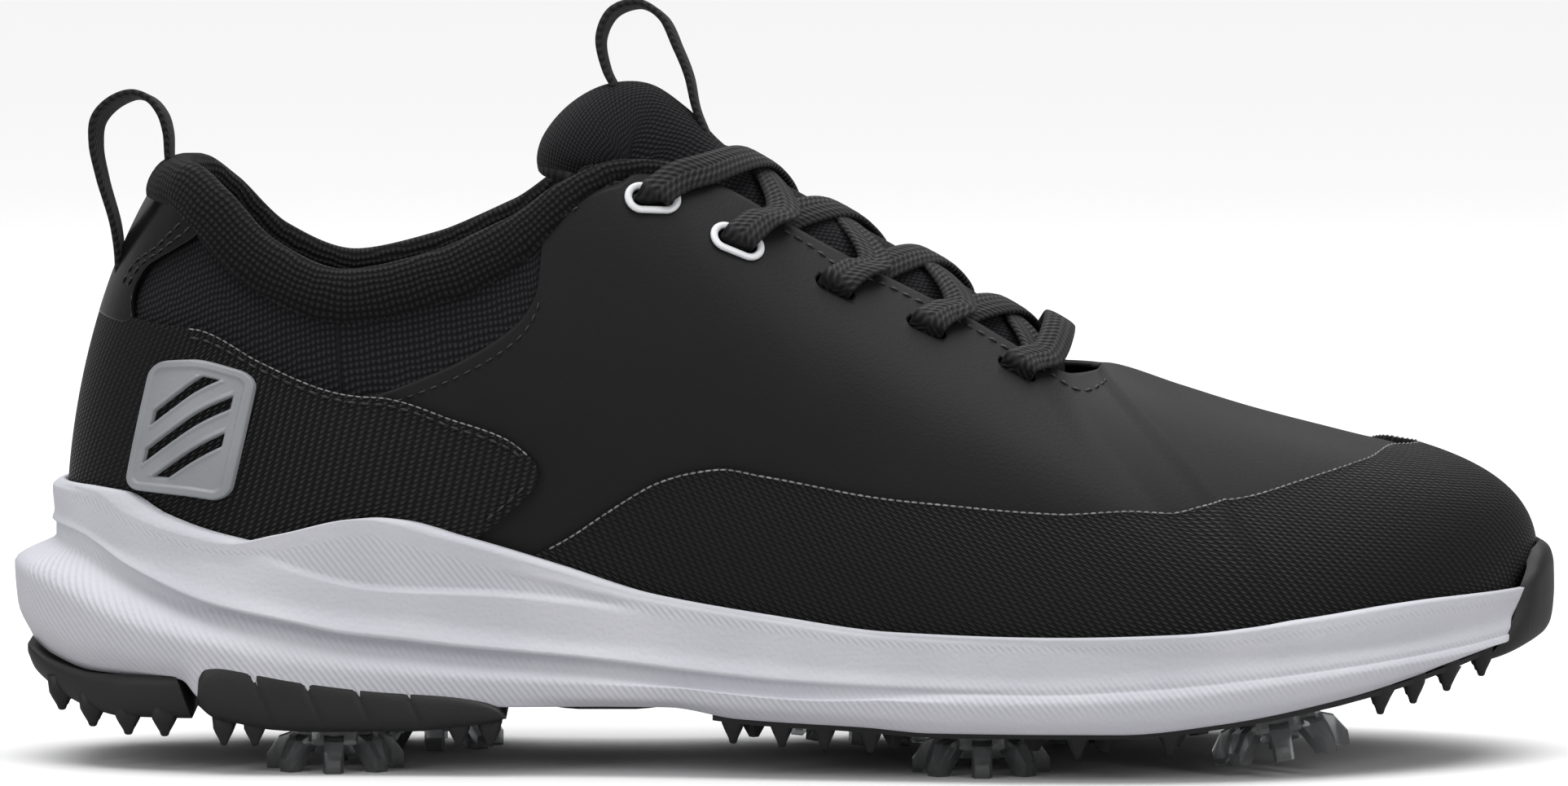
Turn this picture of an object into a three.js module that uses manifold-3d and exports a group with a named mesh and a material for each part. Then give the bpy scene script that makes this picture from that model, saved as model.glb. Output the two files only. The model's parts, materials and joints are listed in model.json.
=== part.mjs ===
// A spiked golf shoe for the right foot, in millimetres, +Z up, toe towards +X, outer side towards -Y.
// The upper is a set of thin panels laid on one body surface, the midsole is a cup round their lower
// edge, and the rubber pieces, cleat seats and cleats are under it.
import * as THREE from 'three';
import { mergeVertices } from 'three/addons/utils/BufferGeometryUtils.js';
import Module from 'manifold-3d';

const wasm = await Module();
wasm.setup();

// ---------------------------------------------------------------- driving dimensions
const LENGTH = 302;                 // heel to toe, over the midsole
const GAP = 0.3;                    // clearance between pieces that touch
const OUTER = -1;                   // the side away from the other foot
const INNER = 1;
const SKIN = 1.4;                   // thickness of the main upper
const OVERLAY = [0.55, 1.7];        // overlays, measured out from the body surface
const BADGE = [2.1, 3.4];
const STIFFENER = [-3.3, -2.1];     // heel counter and toe puff
const LINING = [-5.6, -4.4];
const CUP_CLEARANCE = 2.5;          // from the body surface to the midsole's cup wall
const CLEAT_HEIGHT = 8;
const CLEAT_RADIUS = 13.3;
const LACE_WIDTH = 6.4;
const LACE_THICKNESS = 1.1;
const ROLL_RADIUS = 3.3;            // padded top line

// ---------------------------------------------------------------- small helpers
const rad = THREE.MathUtils.degToRad;
const mix = THREE.MathUtils.lerp;
const vec = (x, y, z) => new THREE.Vector3(x, y, z);
const steps = (count, from = 0, to = 1) => Array.from({ length: count + 1 }, (_, i) => mix(from, to, i / count));

// A smooth curve through points [x, y] that never overshoots them.
function through(points) {
  const slope = points.slice(1).map(([x, y], i) => (y - points[i][1]) / (x - points[i][0]));
  const tangent = points.map((_, i) => {
    if (i === 0) return slope[0];
    if (i === slope.length) return slope[i - 1];
    const product = slope[i - 1] * slope[i];
    return product <= 0 ? 0 : (2 * product) / (slope[i - 1] + slope[i]);
  });
  return (x) => {
    const last = points.length - 2;
    let i = 0;
    while (i < last && x > points[i + 1][0]) i += 1;
    const width = points[i + 1][0] - points[i][0];
    const t = THREE.MathUtils.clamp((x - points[i][0]) / width, 0, 1);
    const [a, b] = [points[i][1], points[i + 1][1]];
    const [m, n] = [tangent[i] * width, tangent[i + 1] * width];
    const c = 3 * (b - a) - 2 * m - n;
    return a + t * (m + t * (c + t * (m + n - 2 * (b - a))));
  };
}

// ---------------------------------------------------------------- the sole's plan
// Heel to toe runs as half a turn: x = L (1 - cos(pi s)) / 2, and the half width is a curve times sin.
const soleWidth = through([[0, 70], [40, 56], [80, 43.3], [120, 39.2], [160, 44.4], [200, 55.2], [250, 66.5],
  [302, 68]]);
const soleCentre = through([[0, 0], [60, -1.2], [120, -4.8], [150, -5.8], [200, -3.2], [250, 0.8], [302, 9]]);
const turnAt = (x) => Math.acos(THREE.MathUtils.clamp(1 - (2 * x) / LENGTH, -1, 1));
const halfSole = (x) => soleWidth(x) * Math.sin(turnAt(x));

function outline(side, s, inset = 0) {
  const at = (q) => {
    const x = (LENGTH * (1 - Math.cos(Math.PI * q))) / 2;
    return vec(x, soleCentre(x) + side * soleWidth(x) * Math.sin(Math.PI * q), 0);
  };
  const point = at(s);
  return point.addScaledVector(outward(at, side, s), -inset);
}

// Horizontal direction that points out of a plan curve; straight back at the heel, straight on at the toe.
function outward(at, side, s) {
  if (s <= 0) return vec(-1, 0, 0);
  if (s >= 1) return vec(1, 0, 0);
  const step = 1e-4;
  const along = at(Math.min(1, s + step)).sub(at(Math.max(0, s - step)));
  return vec(-side * along.y, side * along.x, 0).normalize();
}

// Heights along the shoe, at the outer side.
const biteLine = through([[8, 54.5], [13, 54], [21, 50.2], [34, 46.4], [43, 45], [53, 46.8], [69, 49.9], [84, 46.5],
  [103, 41.2], [122, 35.8], [147, 31.8], [172, 28.8], [203, 28.1], [229, 28.7], [254, 31], [280, 33.5], [302, 34]]);
const footbed = through([[0, 27.5], [60, 27.5], [90, 25], [120, 21.5], [150, 18.5], [185, 16.4], [212, 16.2],
  [235, 18], [260, 21.5], [280, 25], [302, 28.5]]);
const soleUnder = through([[0, 24], [5, 21.5], [14, 19.1], [33, 18.4], [38, 15], [97, 13.6], [128, 13.6],
  [141, 11.7], [166, 10.5], [179, 9.6], [215, 9.6], [235, 11.4], [260, 15.4], [273, 18.4], [286, 22.2], [302, 28]]);

// ---------------------------------------------------------------- the body surface of the upper
// Each rib is a cubic from the footbed's edge to the top line. Rows: s, x, y, z of the rib's top,
// how steeply it ends (degrees below level), and which way it faces (0 back, 90 sideways, 180 forward).
const TOP_LINE = [
  [0.00, 31.5, 0, 115.5, 55, 0], [0.06, 32.5, 8, 115.6, 60, 30], [0.12, 35, 15.5, 115.2, 68, 52],
  [0.18, 40, 22.5, 111.0, 76, 68], [0.24, 50, 27.5, 101.2, 80, 82], [0.30, 66, 30.5, 95.2, 80, 90],
  [0.35, 84, 31, 99.0, 78, 90], [0.39, 99, 29.5, 106.5, 72, 92], [0.42, 109, 28, 114.6, 64, 94],
  [0.45, 119, 25.5, 118.2, 55, 95], [0.48, 128, 22.5, 117.4, 46, 95], [0.52, 140, 19.5, 112.6, 38, 95],
  [0.56, 153, 17.5, 105.0, 35, 95], [0.60, 168, 17, 96.8, 32, 94], [0.65, 187, 17.5, 87.2, 31, 93],
  [0.68, 198, 18.5, 80.8, 31, 92], [0.705, 207, 17, 76.4, 27, 91], [0.722, 211.8, 10, 76.6, 15, 91],
  [0.735, 213.5, 0, 77.2, 0, 92], [0.80, 229, 0, 72.6, 0, 98], [0.86, 243, 0, 68, 0, 110],
  [0.92, 255, 0, 64.8, 0, 130], [0.96, 261.5, 0, 63.2, 0, 152], [1.00, 266, 0, 62.2, 0, 180]];
const column = (k) => through(TOP_LINE.map((row) => [row[0], row[k]]));
const [topX, topY, topZ, topSteep, topTurn] = [1, 2, 3, 4, 5].map(column);
const THROAT_END = 0.735;           // from here to the toe the two sides meet on the crest
const crestCentre = through([[0, 0], [120, -2], [180, -1], [230, 2], [266, 5], [302, 9]]);
const bulge = through([[0, 4.5], [0.2, 5], [0.4, 4], [0.55, 7], [0.7, 10], [0.85, 9.5], [1, 8.5]]);
const rise = through([[0, 28], [0.3, 24], [0.5, 30], [0.65, 26], [0.8, 22], [1, 19]]);
const reach = through([[0, 26], [0.3, 24], [0.5, 27], [0.75, 27], [1, 24]]);
const FEATHER = { back: 13, front: 294.5, inset: 7.5 };

function featherPoint(side, s) {
  const x = mix(FEATHER.back, FEATHER.front, (1 - Math.cos(Math.PI * s)) / 2);
  const half = (soleWidth(x) - FEATHER.inset) * Math.sin(Math.PI * s);
  return vec(x, soleCentre(x) + side * half, footbed(x) + 0.4);
}

function rib(side, s) {
  const low = featherPoint(side, s);
  const out = outward((q) => featherPoint(side, q), side, s);
  const x = topX(s);
  const top = vec(x, crestCentre(x) + side * topY(s), topZ(s));
  const turn = rad(topTurn(s));
  const crestSlope = s > 0.7 ? (topZ(Math.min(1, s + 0.01)) - topZ(s - 0.01))
    / (topX(Math.min(1, s + 0.01)) - topX(s - 0.01)) : 0;
  const away = vec(-Math.cos(turn), side * Math.sin(turn), -Math.cos(turn) * crestSlope).normalize();
  away.multiplyScalar(Math.cos(rad(topSteep(s)))).z -= Math.sin(rad(topSteep(s)));
  const handleLow = low.clone().addScaledVector(out, bulge(s)).add(vec(0, 0, rise(s)));
  const handleTop = top.clone().addScaledVector(away.normalize(), reach(s));
  return new THREE.CubicBezierCurve3(low, handleLow, handleTop, top);
}

// Points of the body surface. A station runs from -1 (outer side, toe) over 0 (heel) to 1 (inner side,
// toe) on a heel piece, and from -1 (outer, heel) over 0 (toe) to 1 (inner, heel) on a toe piece.
const ribs = new Map();
function ribAt(side, s) {
  const key = `${side} ${s.toFixed(6)}`;
  if (!ribs.has(key)) ribs.set(key, rib(side, s));
  return ribs.get(key);
}
const surface = (side, s, v) => ribAt(side, s).getPoint(v);

function sideNormal(side, s, v) {
  const ds = 1e-3;
  const s0 = Math.max(0, s - ds);
  const s1 = Math.min(1, s + ds);
  const v0 = Math.max(0, v - ds);
  const v1 = Math.min(1, v + ds);
  const alongS = surface(side, s1, v).sub(surface(side, s0, v));
  const alongV = surface(side, s, v1).sub(surface(side, s, v0));
  return alongS.cross(alongV).multiplyScalar(-side).normalize();
}

function normal(side, s, v) {
  const onCrest = v > 0.9999 && s >= THROAT_END - 1e-6;
  const near = onCrest ? Math.min(s, 0.97) : s;   // the crest's front end has no direction of its own
  const n = sideNormal(side, near, v);
  if (onCrest || s <= 0 || s >= 1) n.add(sideNormal(-side, near, v));
  if (s <= 0 || s >= 1) n.y = 0;
  return n.normalize();
}

const lifted = (side, s, v, offset) => surface(side, s, v).addScaledVector(normal(side, s, v), offset);

// Where a point of the side view, x along and z up, lies on the body surface.
function locate(side, x, z) {
  let best = { s: 0.5, v: 0.5, miss: Infinity };
  for (let ring = 0, span = 0.5; ring < 14; ring += 1, span *= 0.5) {
    const centre = best;
    for (const ds of [-1, -0.5, 0, 0.5, 1]) {
      for (const dv of [-1, -0.5, 0, 0.5, 1]) {
        const s = THREE.MathUtils.clamp(centre.s + ds * span, 0, 1);
        const v = THREE.MathUtils.clamp(centre.v + dv * span, 0, 1);
        const p = rib(side, s).getPoint(v);
        const miss = Math.hypot(p.x - x, p.z - z);
        if (miss < best.miss) best = { s, v, miss };
      }
    }
  }
  return best;
}

// The height v of a panel's edge at each station s, from the edge's points in the side view.
function edge(side, points) {
  const found = points.map(([x, z]) => locate(side, x, z)).map(({ s, v }) => [s, v]);
  return through(found.filter((p, i) => i === 0 || p[0] > found[i - 1][0] + 1e-4));
}

// ---------------------------------------------------------------- meshes from points
function closedGeometry(corners) {
  const geometry = new THREE.BufferGeometry();
  geometry.setAttribute('position', new THREE.Float32BufferAttribute(corners.flatMap((p) => [p.x, p.y, p.z]), 3));
  const merged = mergeVertices(geometry, 1e-4);
  const index = [...merged.index.array];
  const kept = [];
  for (let i = 0; i < index.length; i += 3) {
    const [a, b, c] = index.slice(i, i + 3);
    if (a !== b && b !== c && a !== c) kept.push(a, b, c);
  }
  merged.setIndex(kept);
  return merged;
}

const quad = (a, b, c, d) => [a, b, c, a, c, d];

// The triangles over a ring, as rungs between its two halves, so a bent ring is covered as well as a round one.
function ringCover(ring) {
  const corners = [];
  for (let [j, k] = [0, ring.length - 1]; j + 1 < k; j += 1, k -= 1) {
    corners.push(ring[j], ring[j + 1], ring[k]);
    if (j + 1 < k - 1) corners.push(ring[j + 1], ring[k - 1], ring[k]);
  }
  return corners;
}

// A body through rings of points, each ring a closed loop, with a cover over both ends.
function loft(rings, capped = true) {
  const corners = [];
  for (let i = 0; i + 1 < rings.length; i += 1) {
    for (let j = 0; j < rings[i].length; j += 1) {
      const k = (j + 1) % rings[i].length;
      corners.push(...quad(rings[i][j], rings[i][k], rings[i + 1][k], rings[i + 1][j]));
    }
  }
  if (capped) corners.push(...ringCover(rings[0]).reverse(), ...ringCover(rings.at(-1)));
  return outwardFacing(closedGeometry(corners));
}

function outwardFacing(geometry) {
  const { array } = geometry.attributes.position;
  const index = geometry.index.array;
  const at = (i) => vec(array[3 * i], array[3 * i + 1], array[3 * i + 2]);
  let volume = 0;
  for (let i = 0; i < index.length; i += 3) {
    volume += at(index[i]).dot(at(index[i + 1]).cross(at(index[i + 2])));
  }
  if (volume < 0) geometry.setIndex([...index].reverse());
  return geometry;
}

// A panel of even thickness. At each station the panel runs from v = low to v = high.
function panel({ stations, place, low, high, thickness, rows = 6 }) {
  const [inside, outside] = thickness;
  const grid = (offset) => stations.map((u) => {
    const { side, s } = place(u);
    return steps(rows, low(side, s), high(side, s)).map((v) => lifted(side, s, v, offset));
  });
  const [inner, outer] = [grid(inside), grid(outside)];
  const last = stations.length - 1;
  const corners = [];
  const onCrest = (u) => {
    const { side, s } = place(u);
    return s >= THROAT_END - 1e-6 && high(side, s) > 0.9999;
  };
  for (let i = 0; i < last; i += 1) {
    for (let j = 0; j < rows; j += 1) {
      corners.push(...quad(outer[i][j], outer[i + 1][j], outer[i + 1][j + 1], outer[i][j + 1]));
      corners.push(...quad(inner[i][j], inner[i][j + 1], inner[i + 1][j + 1], inner[i + 1][j]));
    }
    corners.push(...quad(inner[i][0], inner[i + 1][0], outer[i + 1][0], outer[i][0]));
    if (!(onCrest(stations[i]) && onCrest(stations[i + 1]))) {
      corners.push(...quad(outer[i][rows], outer[i + 1][rows], inner[i + 1][rows], inner[i][rows]));
    }
  }
  for (let j = 0; j < rows; j += 1) {
    corners.push(...quad(inner[0][j], outer[0][j], outer[0][j + 1], inner[0][j + 1]));
    corners.push(...quad(outer[last][j], inner[last][j], inner[last][j + 1], outer[last][j + 1]));
  }
  return outwardFacing(closedGeometry(corners));
}

const fromHeel = (u) => ({ side: u < 0 ? OUTER : INNER, s: Math.abs(u) });
const fromToe = (u) => ({ side: u < 0 ? OUTER : INNER, s: 1 - Math.abs(u) });
const zero = () => 0;

function toManifold(geometry) {
  return new wasm.Manifold(new wasm.Mesh({
    numProp: 3,
    vertProperties: new Float32Array(geometry.attributes.position.array),
    triVerts: new Uint32Array(geometry.index.array),
  }));
}

function fromManifold(solid) {
  const { vertProperties, triVerts } = solid.getMesh();
  const geometry = new THREE.BufferGeometry();
  geometry.setAttribute('position', new THREE.Float32BufferAttribute(vertProperties, 3));
  geometry.setIndex([...triVerts]);
  return geometry;
}

function plain(geometry) {
  geometry.deleteAttribute('normal');
  geometry.deleteAttribute('uv');
  return mergeVertices(geometry, 1e-4);
}

const join = (pieces) => fromManifold(pieces.map(toManifold).reduce((a, b) => a.add(b)));

// Cuts tools out of a body and keeps its largest part, so no sliver is left at a cut's edge.
function cut(body, tools) {
  const rest = tools.map(toManifold).reduce((a, b) => a.subtract(b), toManifold(body));
  return fromManifold(rest.decompose().reduce((a, b) => (b.volume() > a.volume() ? b : a)));
}

// A slab between two side edges, from x = from to x = to, with its own top and bottom heights.
function slab({ from, to, left, right, top, under, count = 12, round = 0 }) {
  return loft(steps(count, from, to).map((x) => {
    const ends = round ? Math.min(1, Math.sqrt(Math.max(0.02, Math.min(x - from, to - x) / round))) : 1;
    const middle = (left(x) + right(x)) / 2;
    const [a, b] = [mix(middle, left(x), ends), mix(middle, right(x), ends)];
    return [vec(x, a, under(x)), vec(x, b, under(x)), vec(x, b, top(x)), vec(x, a, top(x))];
  }));
}

function cylinder(radius, height, x, y, z, sides = 12) {
  const geometry = new THREE.CylinderGeometry(radius, radius, height, sides);
  geometry.rotateX(Math.PI / 2).translate(x, y, z + height / 2);
  return plain(geometry);
}

// ---------------------------------------------------------------- the assembly
const group = new THREE.Group();
const shoe = new THREE.Group();
group.add(shoe);

function add(name, geometry, colour, roughness, metalness = 0) {
  geometry.computeVertexNormals();
  const mesh = new THREE.Mesh(geometry, new THREE.MeshStandardMaterial({ color: colour, roughness, metalness }));
  mesh.name = name;
  shoe.add(mesh);
  return mesh;
}

const BLACK = 0x101012;
const GREY = 0x323232;
const FOAM = 0xc6c4d2;

// ---------------------------------------------------------------- cleats and their seats
const CLEATS = [[63.6, -22], [189, -30], [246, -30], [82, 20], [166, 22], [205, 31], [240, 33]];
const HEEL_UNDER = 8.3;             // underside of the heel rubber
const FOREFOOT_RUBBER = 1;          // thickness of the forefoot rubber
const underRubber = (x) => (x < 110 ? HEEL_UNDER : soleUnder(x) - GAP - FOREFOOT_RUBBER);
const SEAT = { radius: 11, height: 2.6, bore: 4.2 };
const HUB_TOP = -GAP;

// Moves a piece built round the origin to a cleat's place, square to the sole there.
function underSole(geometry, x, y) {
  const slope = x < 110 ? 0 : (underRubber(x + 8) - underRubber(x - 8)) / 16;
  geometry.rotateY(-Math.atan(slope));
  return geometry.translate(x, y, underRubber(x));
}

function seat() {
  const profile = [[SEAT.bore, 0], [SEAT.radius, 0], [SEAT.radius, SEAT.height], [SEAT.bore, SEAT.height],
    [SEAT.bore, 0]].map(([r, z]) => new THREE.Vector2(r, z));
  return outwardFacing(plain(new THREE.LatheGeometry(profile, 12).rotateX(Math.PI / 2)));
}

function cleat() {
  const floor = HUB_TOP - CLEAT_HEIGHT;
  const hub = cylinder(8.6, 3, 0, 0, HUB_TOP - 3);
  const post = cylinder(3.7, 3.4, 0, 0, HUB_TOP - 1);
  const grip = cylinder(5, 2.2, 0, 0, HUB_TOP - 5.1, 8);
  const legs = steps(7, 0, 7).map((k) => {
    const a = (k * Math.PI) / 4;
    const across = vec(-Math.sin(a), Math.cos(a), 0);
    const ring = (r, half, zLow, zHigh) => [[-half, zLow], [half, zLow], [half, zHigh], [-half, zHigh]]
      .map(([w, z]) => vec(r * Math.cos(a), r * Math.sin(a), z).addScaledVector(across, w));
    return loft([ring(6.5, 1.9, HUB_TOP - 2.8, HUB_TOP - 0.4), ring(11, 2, floor, HUB_TOP - 2),
      ring(CLEAT_RADIUS, 1.4, floor, floor + 2.6)]);
  });
  return join([hub, post, grip, ...legs]);
}

CLEATS.forEach(([x, y], i) => {
  add(`cleat_seat_${i + 1}`, underSole(seat(), x, y), 0x222224, 0.5);
  add(`cleat_${i + 1}`, underSole(cleat(), x, y), 0x3a3a3c, 0.35);
});
const seatPockets = CLEATS.map(([x, y]) => underSole(cylinder(SEAT.radius + GAP, SEAT.height + 3 + GAP, 0, 0, -3),
  x, y));

// ---------------------------------------------------------------- rubber under the foam
const outerEdge = (side, inset) => (x) => soleCentre(x) + side * (halfSole(x) - inset);
const HEEL_SPLIT = 7;               // the heel's two side pieces stop this far from the middle

function lug(x, y, z, size = 3, depth = 3.4) {
  const geometry = new THREE.CylinderGeometry(size, size * 0.35, depth, 4);
  geometry.rotateX(Math.PI / 2).translate(x, y, z - depth / 2 + 0.4);
  return plain(geometry);
}

function rearRubber(margin) {
  return slab({
    from: 3.2 - margin, to: 33 + margin, left: outerEdge(OUTER, 3 - margin), right: outerEdge(INNER, 3 - margin),
    top: (x) => soleUnder(x) - GAP + margin, under: (x) => mix(15.5, 10.5, THREE.MathUtils.clamp(x / 33, 0, 1)),
    count: 10,
  });
}

function sideRubber(side, margin) {
  const lip = through([[38, 19.5], [42, 22.3], [60, 19.6], [78, 16.9], [96, 14.9]]);
  const inner = () => side * (HEEL_SPLIT - margin);
  const foot = slab({
    from: 38.6 - margin, to: 96.4 + margin, left: outerEdge(side, 0.4 - margin), right: inner,
    top: () => 14.4 + margin, under: () => HEEL_UNDER - margin,
  });
  const upstand = slab({
    from: 38.6 - margin, to: 96.4 + margin, left: outerEdge(side, 0.4 - margin),
    right: outerEdge(side, 3 + margin), top: (x) => lip(x) + margin, under: () => HEEL_UNDER + 1,
  });
  return join([foot, upstand]);
}

function forefootRubber(margin) {
  return slab({
    from: 137, to: 288, left: outerEdge(OUTER, 6 - margin), right: outerEdge(INNER, 6 - margin),
    top: (x) => soleUnder(x) - GAP + margin, under: (x) => soleUnder(x) - GAP - FOREFOOT_RUBBER, count: 20,
  });
}

const clearOfCleats = (x, y) => CLEATS.every(([cx, cy]) => Math.hypot(x - cx, y - cy) > CLEAT_RADIUS + 3.5);
function lugRow(xs, ys, inset) {
  return xs.flatMap((x) => ys.map((t) => [x, soleCentre(x) + t * (halfSole(x) - inset)]))
    .filter(([x, y]) => clearOfCleats(x, y));
}

const heelLugs = lugRow([10, 18, 27], [-0.8, -0.3, 0.3, 0.8], 6).map(([x, y]) => lug(x, y, mix(15.5, 10.5, x / 33)));
const forefootLugs = lugRow(steps(10, 145, 280), [-1, -0.4, 0.4, 1], 10)
  .map(([x, y]) => lug(x, y, soleUnder(x) - GAP - FOREFOOT_RUBBER, 2.6, 3));
add('outsole_rear', join([rearRubber(0), ...heelLugs]), BLACK, 0.7);
[[OUTER, 'outsole_heel_outer'], [INNER, 'outsole_heel_inner']].forEach(([side, name]) => {
  const lugs = lugRow([44, 52, 72, 90], [side * 0.9, side * 0.55], 5)
    .filter(([, y]) => Math.abs(y) > HEEL_SPLIT + 4).map(([x, y]) => lug(x, y, HEEL_UNDER));
  const body = cut(sideRubber(side, 0), seatPockets);
  add(name, join([body, ...lugs]), BLACK, 0.7);
});
add('outsole_forefoot', join([cut(forefootRubber(0), seatPockets), ...forefootLugs]), BLACK, 0.7);
const shankPlate = (margin) => slab({
  from: 100 - margin, to: 133 + margin, left: () => -26 - margin, right: () => 18 + margin,
  top: (x) => soleUnder(x) - GAP + margin, under: (x) => soleUnder(x) - GAP - 1.6, round: 10,
});
add('shank_plate', shankPlate(0), BLACK, 0.4);

// ---------------------------------------------------------------- toe bumper
const BUMPER = { start: 0.93, low: 22.5, high: 40.5, thickness: 3.2 };
function bumper(margin) {
  const levels = [[0, 2.6], [0.25, 0.7], [0.5, 0], [0.75, 0], [0.92, 0.4], [1, 1.1]];
  const span = 1 - BUMPER.start + margin * 0.01;
  const stations = steps(10, -span, span);
  const rings = stations.map((u) => {
    const { side, s } = fromToe(u);
    const out = outward((q) => outline(side, q), side, s);
    const at = (q, inset) => {
      const p = outline(side, s, inset);
      p.z = mix(BUMPER.low - margin, BUMPER.high + margin, q);
      return p;
    };
    const outer = levels.map(([q, inset]) => at(q, inset).addScaledVector(out, margin));
    const inner = levels.map(([q]) => {
      const p = at(q, BUMPER.thickness + margin + 1);
      if (q < 0.4) return p;
      const v = heightOn(side, s, p.z);
      const skin = lifted(side, s, v, CUP_CLEARANCE + 0.3 - margin);
      return vec(skin.x, skin.y, p.z);
    });
    return [...outer, ...inner.reverse()];
  });
  return loft(rings);
}

// The v at which a rib reaches the height z.
function heightOn(side, s, z) {
  let [low, high] = [0, 1];
  for (let i = 0; i < 30; i += 1) {
    const middle = (low + high) / 2;
    if (surface(side, s, middle).z < z) low = middle;
    else high = middle;
  }
  return low;
}

// ---------------------------------------------------------------- midsole
// The wall's profile from rim to underside: share of the height, and inset from the plan outline.
const HEEL_WALL = [[0.05, 8.3], [0.2, 7.4], [0.27, 8.6], [0.38, 1.6], [0.5, 0.2], [0.66, 0], [0.84, 2.2], [0.95, 5],
  [1, 8.5]];
const FORE_WALL = [[0.06, 3.4], [0.25, 2.6], [0.35, 3.0], [0.5, 0.8], [0.6, 0], [0.76, 0], [0.88, 0.8], [0.96, 2.4],
  [1, 5.2]];
const RIM_WALL = 1.6;               // the least thickness of the wall round the cup
function midsole() {
  const rings = steps(32).map((s) => {
    const halves = [OUTER, INNER].map((side) => {
      const blend = THREE.MathUtils.smoothstep(s, 0.1, 0.34);
      const edgePoint = outline(side, s);
      const rimHeight = biteLine(edgePoint.x);
      const vRim = heightOn(side, s, rimHeight);
      const inside = steps(4, 0, vRim).map((v) => lifted(side, s, v, CUP_CLEARANCE));
      const floorCorner = inside[0].clone();
      floorCorner.z = footbed(floorCorner.x);
      const rimOut = outward((q) => outline(side, q), side, s);
      const lip = inside.at(-1).clone().addScaledVector(rimOut, RIM_WALL / 2);
      const base = soleUnder(edgePoint.x);
      const wall = HEEL_WALL.map(([share, inset], k) => {
        const q = mix(share, FORE_WALL[k][0], blend);
        const p = outline(side, s, mix(inset, FORE_WALL[k][1], blend));
        p.z = mix(rimHeight, base, q);
        if (p.z < floorCorner.z) return p;
        const cup = lifted(side, s, heightOn(side, s, p.z), CUP_CLEARANCE);
        const room = p.clone().sub(cup).setZ(0).dot(rimOut);
        return p.addScaledVector(rimOut, Math.max(0, RIM_WALL - room));
      });
      return { inside: [floorCorner, ...inside.slice(1)], lip, wall };
    });
    const [a, b] = halves;
    const across = (p, q) => steps(4).slice(1, -1).map((t) => p.clone().lerp(q, t));
    return [
      ...a.wall.slice().reverse(), a.lip, ...a.inside.slice().reverse(),
      ...across(a.inside[0], b.inside[0]),
      ...b.inside, b.lip, ...b.wall,
      ...across(b.wall.at(-1), a.wall.at(-1)),
    ];
  });
  return loft(rings, false);
}
const rubberRoom = [sideRubber(OUTER, GAP), sideRubber(INNER, GAP), rearRubber(GAP), shankPlate(GAP), bumper(0.5)];
add('midsole', cut(midsole(), [...rubberRoom, ...seatPockets]), FOAM, 0.75);
add('toe_bumper', bumper(0), BLACK, 0.65);

// ---------------------------------------------------------------- inside the shoe
function footShape(inset, from, to, top, under) {
  const half = (x) => {
    const t = (x - FEATHER.back - inset) / (FEATHER.front - FEATHER.back - 2 * inset);
    return (soleWidth(x) - FEATHER.inset - inset) * Math.sqrt(Math.max(0.003, 1 - (2 * t - 1) ** 2));
  };
  const xs = steps(30).map((t) => mix(from, to, (1 - Math.cos(Math.PI * t)) / 2));
  return loft(xs.map((x) => [
    vec(x, soleCentre(x) - half(x), under(x)), vec(x, soleCentre(x) + half(x), under(x)),
    vec(x, soleCentre(x) + half(x), top(x)), vec(x, soleCentre(x) - half(x), top(x)),
  ]));
}
const inFoot = (inset) => [FEATHER.back + inset + 0.1, FEATHER.front - inset - 0.1];
add('strobel_board', footShape(7, ...inFoot(7), (x) => footbed(x) + 1.6, (x) => footbed(x) + GAP), 0xd8d4c8, 0.9);
add('insole', footShape(7.5, ...inFoot(7.5), (x) => footbed(x) + 6, (x) => footbed(x) + 1.6 + GAP), 0x2c2c30, 0.9);

const toeStations = steps(7, -0.16, -0.02);
const frontStations = [...steps(6, -0.32, -0.265), ...steps(3, -0.25, -0.19), ...toeStations];
const bothSides = (half) => [...half, 0, ...half.map((u) => -u).reverse()];
const liningTop = (side, s) => {
  if (s < 0.43) return 0.925;
  return mix(0.925, 0.72, THREE.MathUtils.smoothstep(s, 0.43, 0.5))
    + 0.28 * THREE.MathUtils.smoothstep(s, 0.72, 0.745);
};
// The lining is one sock: its back is open at the heel line, where the counter's pocket is sewn.
add('lining', panel({
  stations: bothSides([...steps(20, -0.996, -0.34), ...frontStations]),
  place: fromToe, low: zero, high: (side, s) => (s > 0.74 ? 1 : Math.min(1, liningTop(side, s))),
  thickness: LINING, rows: 5,
}), 0x1c1c1e, 0.95);
add('heel_counter', panel({
  stations: steps(16, -0.26, 0.26), place: fromHeel, low: () => 0.02,
  high: (side, s) => 0.62 - 1.2 * s, thickness: STIFFENER, rows: 4,
}), 0xb9b4a6, 0.8);
// ---------------------------------------------------------------- skins of the upper
const REAR_EDGE = [[62, 71.5], [71.7, 73.4], [87.5, 79.7], [98.6, 86.8], [103, 93.3], [104.1, 102.1]];
const rearEdge = { [OUTER]: edge(OUTER, REAR_EDGE), [INNER]: edge(INNER, REAR_EDGE) };
const UPPER_START = 0.285;
const FABRIC_END = 0.405;
const REAR_STEP = 0.016;            // the gap between the fabric and the skin, as a share of a rib
const ROLL_END = 0.44;
const UNDER_ROLL = 0.94;            // panels stop here under the padded roll
const belowRoll = (s) => mix(UNDER_ROLL, 1, THREE.MathUtils.smoothstep(s, ROLL_END + 0.006, ROLL_END + 0.03));
const skinTop = (side, s) => (s > FABRIC_END ? belowRoll(s) : Math.min(UNDER_ROLL, rearEdge[side](s)));
const rearStations = steps(10, UPPER_START, FABRIC_END - 0.004);

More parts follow.
